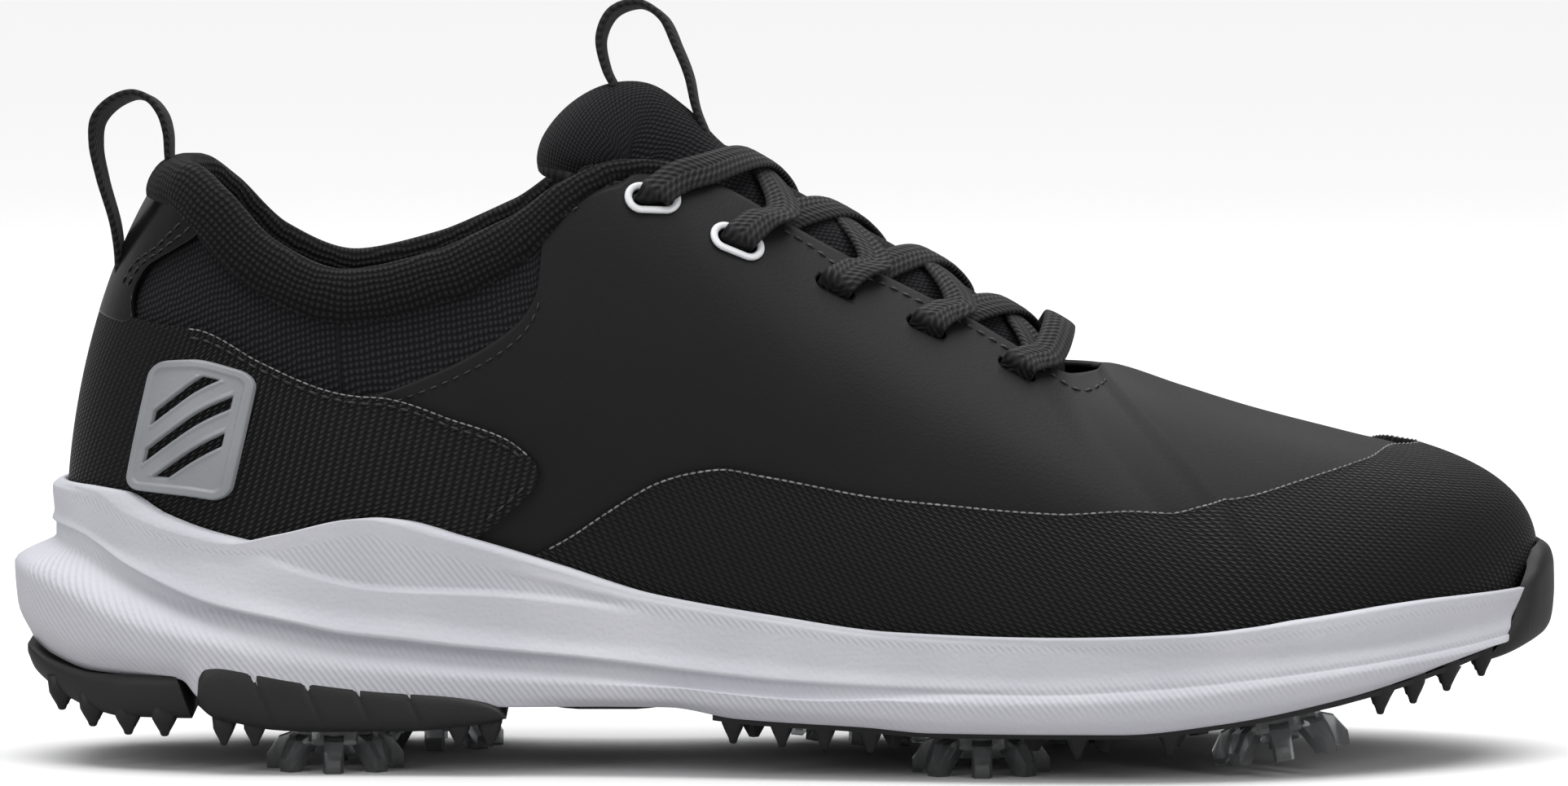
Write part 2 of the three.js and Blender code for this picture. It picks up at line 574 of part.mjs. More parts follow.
function lacePlace(side, x, z) {
  const { s, v } = locate(side, x, z);
  const point = surface(side, s, v);
  const up = normal(side, s, v);
  const along = surface(side, s + 0.01, v).sub(surface(side, s - 0.01, v)).normalize();
  return { point, up, along, across: up.clone().cross(along).normalize(), s, v };
}
const HOLES = [[125.4, 111.2], [141.7, 102.8], [160.7, 93.9], [178.4, 86], [195.9, 77.8]];
const holes = { [OUTER]: HOLES.map(([x, z]) => lacePlace(OUTER, x, z)),
  [INNER]: HOLES.map(([x, z]) => lacePlace(INNER, x, z)) };
const SLOT = { length: 8.2, width: 3.6 };

function slotRing(place, length, width, height, sides = 12) {
  const straight = (length - width) / 2;
  return steps(sides - 1, 0, sides - 1).map((k) => {
    const a = ((k + 0.5) * 2 * Math.PI) / sides;
    const u = Math.cos(a) * (width / 2) + Math.sign(Math.cos(a)) * straight;
    return place.point.clone().addScaledVector(place.along, u)
      .addScaledVector(place.across, Math.sin(a) * (width / 2)).addScaledVector(place.up, height);
  });
}
const slotTool = (place) => loft([slotRing(place, SLOT.length, SLOT.width, -4), slotRing(place, SLOT.length,
  SLOT.width, 3)]);

const throatStations = [...rearStations.map((s) => s - 1), ...steps(3, -0.592, -0.54), ...steps(7, -0.52, -0.34),
  ...frontStations];
add('toe_puff', panel({
  stations: bothSides(toeStations), place: fromToe, low: () => 0.02,
  high: () => 0.8, thickness: STIFFENER, rows: 4,
}), 0xb9b4a6, 0.8);

add('main_upper', cut(panel({
  stations: bothSides(throatStations),
  place: fromToe, low: zero, high: skinTop, thickness: [-SKIN, 0], rows: 5,
}), [...holes[OUTER], ...holes[INNER]].map(slotTool)), GREY, 0.6);

add('ankle_fabric', panel({
  stations: [...rearStations.map((s) => -s).reverse(), ...steps(16, -0.272, 0.272), ...rearStations],
  place: fromHeel,
  low: (side, s) => (s > UPPER_START - 0.005 ? Math.min(0.92, rearEdge[side](s) + REAR_STEP) : 0),
  high: () => UNDER_ROLL, thickness: [-SKIN, 0], rows: 5,
}), 0x17171a, 0.9);

const GUARD_EDGE = [[103, 43], [110, 46.9], [120, 53.6], [126.5, 57.3], [133, 59.3], [139.7, 60.1], [146.5, 58.9],
  [160, 56.3], [186, 52.9], [203, 51.4], [222.7, 51], [236, 52.9], [250, 55.6], [263.4, 58.6], [270, 60.2],
  [275.5, 61.6]];
const offFloor = () => 0.016;        // the overlays end just over the footbed
const guardEdge = { [OUTER]: edge(OUTER, GUARD_EDGE), [INNER]: edge(INNER, GUARD_EDGE) };
add('toe_guard', panel({
  stations: [...steps(16, -0.6, -0.1), ...steps(12, -0.085, 0.085), ...steps(16, 0.1, 0.6)],
  place: fromToe, low: offFloor, high: (side, s) => guardEdge[side](s), thickness: OVERLAY, rows: 5,
}), BLACK, 0.3);

const HEEL_EDGE = [[16.5, 89], [28.6, 86.6], [46.7, 81.5], [71.8, 73.3], [87.5, 68.9], [97, 65.6], [101.5, 62],
  [103.2, 58.5]];
const heelEdge = { [OUTER]: edge(OUTER, HEEL_EDGE), [INNER]: edge(INNER, HEEL_EDGE) };
const HEEL_OVERLAY_END = 0.365;
add('heel_overlay', panel({
  stations: steps(26, -HEEL_OVERLAY_END, HEEL_OVERLAY_END), place: fromHeel, low: offFloor,
  high: (side, s) => heelEdge[side](s), thickness: OVERLAY, rows: 5,
}), BLACK, 0.3);

const TAB_END = 0.17;
add('heel_tab', panel({
  stations: steps(12, -TAB_END, TAB_END), place: fromHeel, low: (side, s) => heelEdge[side](s) + 0.02,
  high: () => UNDER_ROLL, thickness: OVERLAY, rows: 5,
}), BLACK, 0.2);

const BADGE_SPAN = [0.1, 0.22];
[[OUTER, 'heel_badge_outer'], [INNER, 'heel_badge_inner']].forEach(([side, name]) => {
  const [from, to] = BADGE_SPAN;
  add(name, panel({
    stations: steps(8, side * from, side * to), place: fromHeel, low: () => heightOn(side, 0.16, 58),
    high: (_, s) => Math.min(heelEdge[side](s) - 0.03, heightOn(side, s, 80)), thickness: BADGE, rows: 4,
  }), 0x9a9ca0, 0.4, 0.2);
});

// ---------------------------------------------------------------- swept soft pieces
// A bar of even section along a path; the section's flat side faces the given direction.
function sweep(path, faces, section) {
  const rings = path.map((p, i) => {
    const along = path[Math.min(i + 1, path.length - 1)].clone().sub(path[Math.max(i - 1, 0)]).normalize();
    const sideways = faces[i].clone().cross(along).normalize();
    const up = along.clone().cross(sideways).normalize();
    return section(i / (path.length - 1)).map(([w, h]) => p.clone().addScaledVector(sideways, w)
      .addScaledVector(up, h));
  });
  return loft(rings);
}
const strap = (width, thickness) => () => [[-width / 2, -thickness / 2], [width / 2, -thickness / 2],
  [width / 2, thickness / 2], [-width / 2, thickness / 2]];
const round = (radius, sides = 8) => () => steps(sides - 1, 0, sides - 1).map((k) => {
  const a = (2 * Math.PI * k) / sides;
  return [radius * Math.cos(a), radius * Math.sin(a)];
});

// The padded roll rides on the top edges of the fabric, the skin and the lining.
const rollPath = steps(32, -ROLL_END, ROLL_END).map((u) => {
  const { side, s } = fromHeel(u);
  return lifted(side, s, 1, -SKIN - 0.9).add(vec(0, 0, ROLL_RADIUS - 3.1));
});
add('collar_roll', sweep(rollPath, rollPath.map(() => vec(0, 0, 1)), round(ROLL_RADIUS)), 0x151517, 0.9);

// ---------------------------------------------------------------- tongue
// Rows: x and z of the tongue's middle line, the half width and the depth of the oval it bends round,
// and the half angle that it spans.
const TONGUE = [[207, 74, 21, 18, 66], [198, 79.5, 21.5, 19, 70], [185, 88, 21.5, 20, 74], [170, 96.5, 21.5, 20, 75],
  [155, 105.5, 21, 20, 75], [145, 112.5, 20.5, 21, 75], [138, 119.2, 19.5, 23, 77], [132.5, 125.8, 19.5, 25, 80],
  [126, 130.2, 20, 26, 82]];
const TONGUE_BREAK = 6;             // the upper part starts at this row
const TONGUE_THICKNESS = 4;
const tongueLine = new THREE.CatmullRomCurve3(TONGUE.map(([x, z]) => vec(x, crestCentre(x), z)));
const tongueColumn = (k) => through(TONGUE.map((row, i) => [i / (TONGUE.length - 1), row[k]]));
const [tongueHalf, tongueDeep, tongueAngle] = [2, 3, 4].map(tongueColumn);

function tonguePoint(t, beta, depth) {
  const along = tongueLine.getTangent(t);
  const face = vec(along.z, 0, -along.x).normalize();
  const deep = tongueDeep(t);
  return tongueLine.getPoint(t).addScaledVector(face, (deep - depth) * Math.cos(beta) - deep)
    .add(vec(0, (tongueHalf(t) - depth) * Math.sin(beta), 0));
}

function tongueBody(from, to, count, depths = [0, TONGUE_THICKNESS], shrink = 1) {
  return loft(steps(count, from, to).map((t) => {
    const limit = rad(tongueAngle(t)) * shrink;
    const arc = steps(8, -limit, limit);
    return [...arc.map((b) => tonguePoint(t, b, depths[0])), ...arc.reverse().map((b) => tonguePoint(t, b, depths[1]))];
  }));
}
const breakAt = TONGUE_BREAK / (TONGUE.length - 1);
add('tongue_body', tongueBody(0, breakAt - 0.008, 10), 0x18181b, 0.9);
add('tongue_top', tongueBody(breakAt + 0.008, 1, 5), 0x18181b, 0.9);

// ---------------------------------------------------------------- pull loops
function loopAlong(points, width, thickness, count = 22) {
  const curve = new THREE.CatmullRomCurve3(points);
  const path = curve.getPoints(count);
  return sweep(path, path.map((_, i) => {
    const along = curve.getTangent(Math.min(0.999, Math.max(0.001, i / count)));
    return vec(-along.z, 0, along.x);
  }), strap(width, thickness));
}
add('tongue_loop', loopAlong([vec(118.6, 0, 130.2), vec(116.4, 0, 134.5), vec(115.2, 0, 141),
  vec(117.6, 0, 145.9), vec(122.6, 0, 147.7), vec(127.2, 0, 144.8), vec(130.2, 0, 138.8), vec(132.3, 0, 133.5),
  vec(133.6, 0, 126.8)].map((p) => p.add(vec(0, crestCentre(p.x), 0))), 9, 1.1), BLACK, 0.7);
add('heel_loop', loopAlong([vec(15.9, 0, 99), vec(15.9, 0, 106), vec(15, 0, 116), vec(14.9, 0, 123.2),
  vec(18.4, 0, 128.8), vec(22.8, 0, 129.9), vec(27, 0, 127), vec(28.7, 0, 122.4), vec(29.6, 0, 119.9)], 10, 1.1),
BLACK, 0.7);

// ---------------------------------------------------------------- lace and lace rings
// Each leg runs between two holes. It lies over a facing or dips under it at either end.
// A row: the hole it starts from and on which side, the hole it ends at on the other side, whether each
// end lies over its facing, and how high it arches over the tongue.
const LOW = 5.2;
const HIGH = 6.6;
const LEGS = [[0, 1, OUTER, 1, 1, HIGH], [1, 2, INNER, 0, 1, LOW], [2, 3, OUTER, 0, 1, HIGH], [3, 4, INNER, 0, 0, LOW],
  [4, 4, OUTER, 1, 1, HIGH], [3, 4, OUTER, 0, 0, HIGH], [2, 3, INNER, 0, 1, LOW], [1, 2, OUTER, 0, 1, HIGH],
  [0, 1, INNER, 1, 1, LOW]];
const CREST_UP = vec(0.5, 0, 0.866);
const LACE_STEPS = 10;
const OVER = 2.05;
const UNDER = -SKIN - 1.9;

// The station whose top lies at a given x.
function stationAbove(x) {
  let [low, high] = [0.3, THROAT_END];
  for (let i = 0; i < 30; i += 1) {
    const middle = (low + high) / 2;
    if (topX(middle) < x) low = middle;
    else high = middle;
  }
  return low;
}
const THROAT_SHIFT = [9, 8, 7, 6, 5]; // a leg leaves a facing's edge this far ahead of its hole

function laceLeg([first, second, side, overFirst, overSecond, crown]) {
  const halves = [[side, first, overFirst], [-side, second, overSecond]].map(([at, k, over]) => {
    const place = holes[at][k];
    const height = over ? OVER : UNDER;
    const s = stationAbove(HOLES[k][0] + THROAT_SHIFT[k]);
    const up = normal(at, s, 0.99);
    const start = place.point.clone().addScaledVector(place.up, height);
    const rim = surface(at, s, 1).addScaledVector(up, height);
    const mid = lifted(at, (s + place.s) / 2, (1 + place.v) / 2, height);
    return { up: place.up, points: [start, mid, rim] };
  });
  const [a, b] = halves;
  const top = a.points[2].clone().add(b.points[2]).multiplyScalar(0.5).addScaledVector(CREST_UP, crown);
  const curve = new THREE.CatmullRomCurve3([...a.points, top, ...b.points.reverse()], false, 'centripetal');
  const path = curve.getPoints(LACE_STEPS);
  const faces = path.map((_, i) => {
    const t = i / LACE_STEPS;
    return a.up.clone().lerp(b.up, t).lerp(CREST_UP, Math.sin(Math.PI * t) ** 0.7);
  });
  return sweep(path, faces, strap(LACE_WIDTH, LACE_THICKNESS));
}

function lacePin(place) {
  const ring = (height) => [[-LACE_WIDTH / 2, -0.7], [LACE_WIDTH / 2, -0.7], [LACE_WIDTH / 2, 0.7],
    [-LACE_WIDTH / 2, 0.7]].map(([u, w]) => place.point.clone().addScaledVector(place.along, u)
    .addScaledVector(place.across, w).addScaledVector(place.up, height));
  return loft([ring(UNDER - 0.4), ring(OVER + 0.4)]);
}
add('lace', join([...LEGS.map(laceLeg), ...[...holes[OUTER], ...holes[INNER]].map(lacePin)]), 0x0e0e10, 0.85);

[[OUTER, 'outer'], [INNER, 'inner']].forEach(([side, word]) => {
  [0, 1].forEach((k) => {
    const place = holes[side][k];
    const size = (grow) => [SLOT.length + grow, SLOT.width + grow];
    const ring = loft([slotRing(place, ...size(2.4), GAP), slotRing(place, ...size(2.4), 0.9)]);
    const bore = loft([slotRing(place, ...size(0), -1), slotRing(place, ...size(0), 2)]);
    add(`lace_ring_${word}_${k + 1}`, cut(ring, [bore]), 0xe8e8ea, 0.35);
  });
});

// The part's origin: middle of its box, at the ground.
shoe.updateMatrixWorld(true);
const box = new THREE.Box3().setFromObject(shoe);
const middle = box.getCenter(vec(0, 0, 0));
shoe.position.set(-middle.x, -middle.y, -box.min.z);

export default group;
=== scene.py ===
import json
import math

import bmesh
import bpy
import numpy as np
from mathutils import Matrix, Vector


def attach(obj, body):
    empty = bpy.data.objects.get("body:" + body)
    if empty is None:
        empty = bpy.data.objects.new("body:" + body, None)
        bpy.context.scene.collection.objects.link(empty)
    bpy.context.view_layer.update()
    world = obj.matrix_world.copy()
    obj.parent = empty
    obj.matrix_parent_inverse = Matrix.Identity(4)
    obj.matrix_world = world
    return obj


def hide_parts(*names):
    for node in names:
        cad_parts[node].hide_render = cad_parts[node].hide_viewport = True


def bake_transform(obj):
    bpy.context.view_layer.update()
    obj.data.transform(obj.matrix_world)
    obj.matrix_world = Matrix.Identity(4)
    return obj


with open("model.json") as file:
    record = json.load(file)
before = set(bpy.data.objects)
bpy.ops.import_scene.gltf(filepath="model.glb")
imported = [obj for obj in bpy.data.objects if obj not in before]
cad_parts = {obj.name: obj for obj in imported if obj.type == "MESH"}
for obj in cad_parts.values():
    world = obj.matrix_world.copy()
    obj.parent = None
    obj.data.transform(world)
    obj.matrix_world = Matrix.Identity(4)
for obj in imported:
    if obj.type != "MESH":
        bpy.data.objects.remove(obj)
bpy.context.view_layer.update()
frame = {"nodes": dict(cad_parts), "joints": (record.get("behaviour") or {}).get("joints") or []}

# ---------------------------------------------------------------- the shoe's own measures, millimetres
# Lengths run from the heel's rearmost point, heights from the ground, y from the middle of the frame.
LENGTH = 302.0
OUTER, INNER = -1.0, 1.0
CLEATS = [(63.6, -22), (189, -30), (246, -30), (82, 20), (166, 22), (205, 31), (240, 33)]
joints = {joint["name"]: joint for joint in frame["joints"]}
DATUM = np.array(joints["cleat_2_twist"]["pos_m"]) - np.array([CLEATS[1][0], CLEATS[1][1], 8.3]) / 1000


def metres(points):
    """Shoe millimetres to frame metres."""
    return np.asarray(points, float) / 1000 + DATUM


def through(points):
    """A smooth curve through points that never overshoots them: cubic pieces whose end slopes are the
    harmonic mean of the straight slopes on both sides."""
    xs, ys = np.array(points, float).T
    slope = np.diff(ys) / np.diff(xs)
    product = slope[:-1] * slope[1:]
    inner = np.where(product > 0, 2 * product / np.where(product > 0, slope[:-1] + slope[1:], 1), 0)
    tangent = np.concatenate([slope[:1], inner, slope[-1:]])

    def curve(x):
        """The height at x of the piece that x falls in, held level past both ends."""
        x = np.asarray(x, float)
        i = np.clip(np.searchsorted(xs, x) - 1, 0, len(xs) - 2)
        width = xs[i + 1] - xs[i]
        t = np.clip((x - xs[i]) / width, 0, 1)
        a, b, m, n = ys[i], ys[i + 1], tangent[i] * width, tangent[i + 1] * width
        c = 3 * (b - a) - 2 * m - n
        return a + t * (m + t * (c + t * (m + n - 2 * (b - a))))

    return curve


def smooth(x, start, end):
    """Rises from 0 at start to 1 at end with level ends: 3t^2 - 2t^3."""
    t = np.clip((np.asarray(x, float) - start) / (end - start), 0, 1)
    return t * t * (3 - 2 * t)


def mix(a, b, t):
    """The value a share t of the way from a to b."""
    return a + (b - a) * t


def unit(v):
    """Vectors brought to length one."""
    return v / np.maximum(np.linalg.norm(v, axis=-1, keepdims=True), 1e-12)


def vec(x, y, z):
    """Points from their x, y and z, each a number or an array."""
    return np.stack(np.broadcast_arrays(*[np.asarray(c, float) for c in (x, y, z)]), axis=-1)


# ---------------------------------------------------------------- the sole's plan and heights
sole_width = through([(0, 70), (40, 56), (80, 43.3), (120, 39.2), (160, 44.4), (200, 55.2), (250, 66.5),
                      (302, 68)])
sole_centre = through([(0, 0), (60, -1.2), (120, -4.8), (150, -5.8), (200, -3.2), (250, 0.8), (302, 9)])
bite_line = through([(8, 54.5), (13, 54), (21, 50.2), (34, 46.4), (43, 45), (53, 46.8), (69, 49.9),
                     (84, 46.5),
                     (103, 41.2), (122, 35.8), (147, 31.8), (172, 28.8), (203, 28.1), (229, 28.7), (254, 31),
                     (280, 33.5), (302, 34)])
footbed = through([(0, 27.5), (60, 27.5), (90, 25), (120, 21.5), (150, 18.5), (185, 16.4), (212, 16.2),
                   (235, 18),
                   (260, 21.5), (280, 25), (302, 28.5)])
sole_under = through([(0, 24), (5, 21.5), (14, 19.1), (33, 18.4), (38, 15), (97, 13.6), (128, 13.6),
                      (141, 11.7),
                      (166, 10.5), (179, 9.6), (215, 9.6), (235, 11.4), (260, 15.4), (273, 18.4), (286, 22.2),
                      (302, 28)])


def half_sole(x):
    """Half the sole's width at length x."""
    return sole_width(x) * np.sin(np.arccos(np.clip(1 - 2 * np.asarray(x, float) / LENGTH, -1, 1)))


def outline_point(side, s):
    """A point of the sole's outline at station s, at height 0."""
    x = LENGTH * (1 - np.cos(np.pi * s)) / 2
    return vec(x, sole_centre(x) + side * sole_width(x) * np.sin(np.pi * s), 0)


def outward(curve, side, s):
    """Level direction square to a plan curve, pointing away from the foot."""
    s = np.clip(s, 1e-4, 1 - 1e-4)
    along = curve(side, s + 1e-4) - curve(side, s - 1e-4)
    return unit(vec(-side * along[..., 1], side * along[..., 0], 0))


def outline(side, s, inset=0.0):
    """The outline moved inwards by inset."""
    return outline_point(side, s) - outward(outline_point, side, s) * np.asarray(inset)[..., None]


# ---------------------------------------------------------------- the body surface of the upper
# Rows: station, x, y, z of a rib's top, how steeply it ends, and which way it faces.
TOP_LINE = np.array([
    (0.00, 31.5, 0, 115.5, 55, 0), (0.06, 32.5, 8, 115.6, 60, 30), (0.12, 35, 15.5, 115.2, 68, 52),
    (0.18, 40, 22.5, 111.0, 76, 68), (0.24, 50, 27.5, 101.2, 80, 82), (0.30, 66, 30.5, 95.2, 80, 90),
    (0.35, 84, 31, 99.0, 78, 90), (0.39, 99, 29.5, 106.5, 72, 92), (0.42, 109, 28, 114.6, 64, 94),
    (0.45, 119, 25.5, 118.2, 55, 95), (0.48, 128, 22.5, 117.4, 46, 95), (0.52, 140, 19.5, 112.6, 38, 95),
    (0.56, 153, 17.5, 105.0, 35, 95), (0.60, 168, 17, 96.8, 32, 94), (0.65, 187, 17.5, 87.2, 31, 93),
    (0.68, 198, 18.5, 80.8, 31, 92), (0.705, 207, 17, 76.4, 27, 91), (0.722, 211.8, 10, 76.6, 13, 91),
    (0.735, 213.5, 0, 77.2, 7, 92), (0.80, 229, 0, 72.6, 4, 98), (0.86, 243, 0, 68, 0, 110),
    (0.92, 255, 0, 64.8, 0, 130), (0.96, 261.5, 0, 63.2, 0, 152), (1.00, 266, 0, 62.2, 0, 180)])
top_x, top_y, top_z, top_steep, top_turn = [through(TOP_LINE[:, (0, k)]) for k in range(1, 6)]
THROAT_END = 0.735
crest_centre = through([(0, 0), (120, -2), (180, -1), (230, 2), (266, 5), (302, 9)])
bulge = through([(0, 4.5), (0.2, 5), (0.4, 4), (0.55, 7), (0.7, 10), (0.85, 9.5), (1, 8.5)])
rise = through([(0, 28), (0.3, 24), (0.5, 30), (0.65, 26), (0.8, 22), (1, 19)])
reach = through([(0, 26), (0.3, 24), (0.5, 27), (0.7, 27), (0.735, 30), (0.8, 31), (0.9, 28.5), (1, 27)])
FEATHER_BACK, FEATHER_FRONT, FEATHER_INSET = 13.0, 294.5, 7.5


def feather(side, s):
    """The line where the upper meets the footbed's edge: a level half ellipse along the bottom."""
    x = mix(FEATHER_BACK, FEATHER_FRONT, (1 - np.cos(np.pi * s)) / 2)
    half = (sole_width(x) - FEATHER_INSET) * np.sin(np.pi * s)
    return vec(x, sole_centre(x) + side * half, footbed(x) + 0.4)


def body(side, s, v):
    """A point of the upper: along the rib of station s, a cubic from the footbed's edge to the top line."""
    side, s, v = np.broadcast_arrays(np.asarray(side, float), np.asarray(s, float), np.asarray(v, float))
    s = np.clip(s, 0, 1)
    low = feather(side, s)
    x = top_x(s)
    top = vec(x, crest_centre(x) + side * top_y(s), top_z(s))
    ahead, behind = np.clip(s + 0.01, 0, 1), s - 0.01
    slope = np.where(s > 0.7, (top_z(ahead) - top_z(behind)) / (top_x(ahead) - top_x(behind)), 0)
    turn, steep = np.radians(top_turn(s)), np.radians(top_steep(s))
    away = unit(vec(-np.cos(turn), side * np.sin(turn), -np.cos(turn) * slope)) * np.cos(steep)[..., None]
    away = unit(away - vec(0, 0, np.sin(steep)))
    second = low + outward(feather, side, s) * bulge(s)[..., None] + vec(0, 0, rise(s))
    third = top + away * reach(s)[..., None]
    t = v[..., None]
    return (1 - t) ** 3 * low + 3 * t * (1 - t) ** 2 * second + 3 * t * t * (1 - t) * third + t ** 3 * top


def side_normal(side, s, v, step=1e-3):
    """The direction square to the body surface, from its slopes along s and v."""
    s0, s1 = np.clip(s - step, 0, 1), np.clip(s + step, 0, 1)
    v0, v1 = np.clip(v - step, 0, 1), np.clip(v + step, 0, 1)
    along = body(side, s1, v) - body(side, s0, v)
    up = body(side, s, v1) - body(side, s, v0)
    return unit(-np.asarray(side)[..., None] * np.cross(along, up))


def normal(side, s, v):
    """Outward direction of the body surface, shared by both sides where they meet."""
    side, s, v = np.broadcast_arrays(np.asarray(side, float), np.asarray(s, float), np.asarray(v, float))
    crest = (v > 0.9999) & (s >= THROAT_END - 1e-6)
    near = np.where(crest, np.minimum(s, 0.97), s)
    n = side_normal(side, near, v)
    end = (s <= 0) | (s >= 1)
    shared = (crest | end)[..., None]
    n = np.where(shared, n + side_normal(-side, near, v), n)
    n[..., 1] = np.where(end, 0, n[..., 1])
    return unit(n)


def lifted(side, s, v, offset):
    """The body surface moved out along its normal by offset."""
    return body(side, s, v) + normal(side, s, v) * np.asarray(offset, float)[..., None]


def locate(side, x, z):
    """Station and height on a rib of a point given by its x and z, by halving a search window."""
    best, span = (0.5, 0.5), 0.5
    for _ in range(16):
        s, v = np.meshgrid(np.clip(best[0] + span * np.linspace(-1, 1, 9), 0, 1),
                           np.clip(best[1] + span * np.linspace(-1, 1, 9), 0, 1))
        p = body(side, s, v)
        k = np.argmin(np.hypot(p[..., 0] - x, p[..., 2] - z))
        best, span = (s.flat[k], v.flat[k]), span * 0.5
    return best


def edge(side, points):
    """A panel's edge: the height v at each station, from the edge's points in side view."""
    found = [locate(side, x, z) for x, z in points]
    kept = [found[0]]
    for row in found[1:]:
        if row[0] > kept[-1][0] + 1e-4:
            kept.append(row)
    return through(kept)


def height_on(side, s, z):
    """The share v at which a station of the body surface has height z."""
    low, high = np.zeros_like(s), np.ones_like(s)
    for _ in range(26):
        middle = (low + high) / 2
        below = body(side, s, middle)[..., 2] < z
        low, high = np.where(below, middle, low), np.where(below, high, middle)
    return low


# ---------------------------------------------------------------- meshes from arrays
def new_piece(name, points, faces, material, uv=None, ride="shoe", replaces=(), smooth_faces=True):
    """A mesh piece in frame metres from an array of points in shoe millimetres."""
    mesh = bpy.data.meshes.new(name)
    mesh.from_pydata(metres(points.reshape(-1, 3)), [], faces)
    mesh.materials.append(material)
    if uv is not None:
        layer = mesh.uv_layers.new(name="cut")
        loops = np.empty(len(mesh.loops), np.int32)
        mesh.loops.foreach_get("vertex_index", loops)
        layer.data.foreach_set("uv", uv.reshape(-1, 2)[loops].ravel())
    if smooth_faces:
        mesh.polygons.foreach_set("use_smooth", np.ones(len(mesh.polygons), bool))
    mesh.validate()
    piece = bpy.data.objects.new(name, mesh)
    bpy.context.scene.collection.objects.link(piece)
    if ride:
        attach(piece, ride)
    if replaces:
        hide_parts(*replaces)
    return piece


def grid_faces(rows, columns, close_columns=False, start=0):
    """Four-cornered faces between neighbouring rows and columns of a grid of points."""
    i, j = np.meshgrid(np.arange(rows - 1), np.arange(columns if close_columns else columns - 1),
                       indexing="ij")
    k = (j + 1) % columns
    a, b = i * columns + j, i * columns + k
    c, d = (i + 1) * columns + k, (i + 1) * columns + j
    return (np.stack([a, b, c, d], axis=-1).reshape(-1, 4) + start).tolist()


def weld(piece, distance=2e-5):
    """Joins coincident vertices and turns every face outwards."""
    work = bmesh.new()
    work.from_mesh(piece.data)
    bmesh.ops.remove_doubles(work, verts=work.verts, dist=distance)
    bmesh.ops.dissolve_degenerate(work, dist=1e-7, edges=work.edges)
    bmesh.ops.recalc_face_normals(work, faces=work.faces)
    work.to_mesh(piece.data)
    work.free()
    return piece


def turned_out(piece, inside):
    """Makes an open sheet face away from an inner point."""
    centre = metres(np.array(inside))
    mesh = piece.data
    centres, normals = np.empty(len(mesh.polygons) * 3), np.empty(len(mesh.polygons) * 3)
    mesh.polygons.foreach_get("center", centres)
    mesh.polygons.foreach_get("normal", normals)
    away = ((centres.reshape(-1, 3) - centre) * normals.reshape(-1, 3)).sum()
    if away < 0:
        mesh.flip_normals()
    return piece


def solid(piece, thickness, bevel=0.0, segments=2):
    """Gives a sheet its thickness inwards, and rounds its cut edge."""
    wall = piece.modifiers.new("wall", "SOLIDIFY")
    wall.thickness, wall.offset, wall.use_even_offset = thickness / 1000, -1, False
    if bevel:
        edge_round = piece.modifiers.new("edge", "BEVEL")
        edge_round.width, edge_round.segments = bevel / 1000, segments
        edge_round.limit_method, edge_round.angle_limit = "ANGLE", math.radians(50)
        edge_round.harden_normals = False
    return piece


def stations(*parts):
    """Station list from (count, from, to) runs, without repeats."""
    values = np.concatenate([np.linspace(a, b, n) for n, a, b in parts])
    return np.unique(np.round(values, 6))


def panel_grid(u, low, high, rows, offset, from_toe, rows_power=1.0):
    """Points and cloth coordinates of a panel: stations u along, rows from its low to its high edge."""
    side = np.where(u < 0, OUTER, INNER)
    s = 1 - np.abs(u) if from_toe else np.abs(u)
    share = np.linspace(0, 1, rows) ** rows_power
    v = mix(low(side, s)[:, None], high(side, s)[:, None], share[None, :])
    grid_side, grid_s = np.broadcast_to(side[:, None], v.shape), np.broadcast_to(s[:, None], v.shape)
    lift = offset(grid_side, grid_s, v) if callable(offset) else np.full(v.shape, offset)
    points = body(grid_side, grid_s, v) + normal(grid_side, grid_s, v) * lift[..., None]
    middle = points[:, rows // 3]
    along = np.concatenate([[0], np.cumsum(np.linalg.norm(np.diff(middle, axis=0), axis=1))])
    up = np.concatenate([np.zeros((len(u), 1)),
                         np.cumsum(np.linalg.norm(np.diff(points, axis=1), axis=2), axis=1)],
                        axis=1)
    base = np.linalg.norm(body(side, s, low(side, s)) - body(side, s, 0 * s), axis=-1)
    uv = np.stack(np.broadcast_arrays(along[:, None], up + base[:, None]), axis=-1) / 1000
    return points, uv, (side, s, v)


def by_side(function):
    """Lets an edge given for each side be read with arrays of sides."""
    return lambda side, s: np.where(side < 0, function[OUTER](s), function[INNER](s))


# Points inside the shoe that panels measured from the toe or from the heel face away from.
TOE_MIDDLE, HEEL_MIDDLE = (150, 0, 45), (60, 0, 60)


def panel(name, u, low, high, rows, offset, thickness, from_toe, material, replaces=(), bevel=0.25):
    """A sheet of the upper between two edges, lifted off the body surface and given its thickness."""
    points, uv, _ = panel_grid(u, low, high, rows, offset, from_toe)
    piece = new_piece(name, points, grid_faces(len(u), rows), material, uv, replaces=replaces)
    weld(piece, 1e-5)
    turned_out(piece, TOE_MIDDLE if from_toe else HEEL_MIDDLE)
    return solid(piece, thickness, bevel)


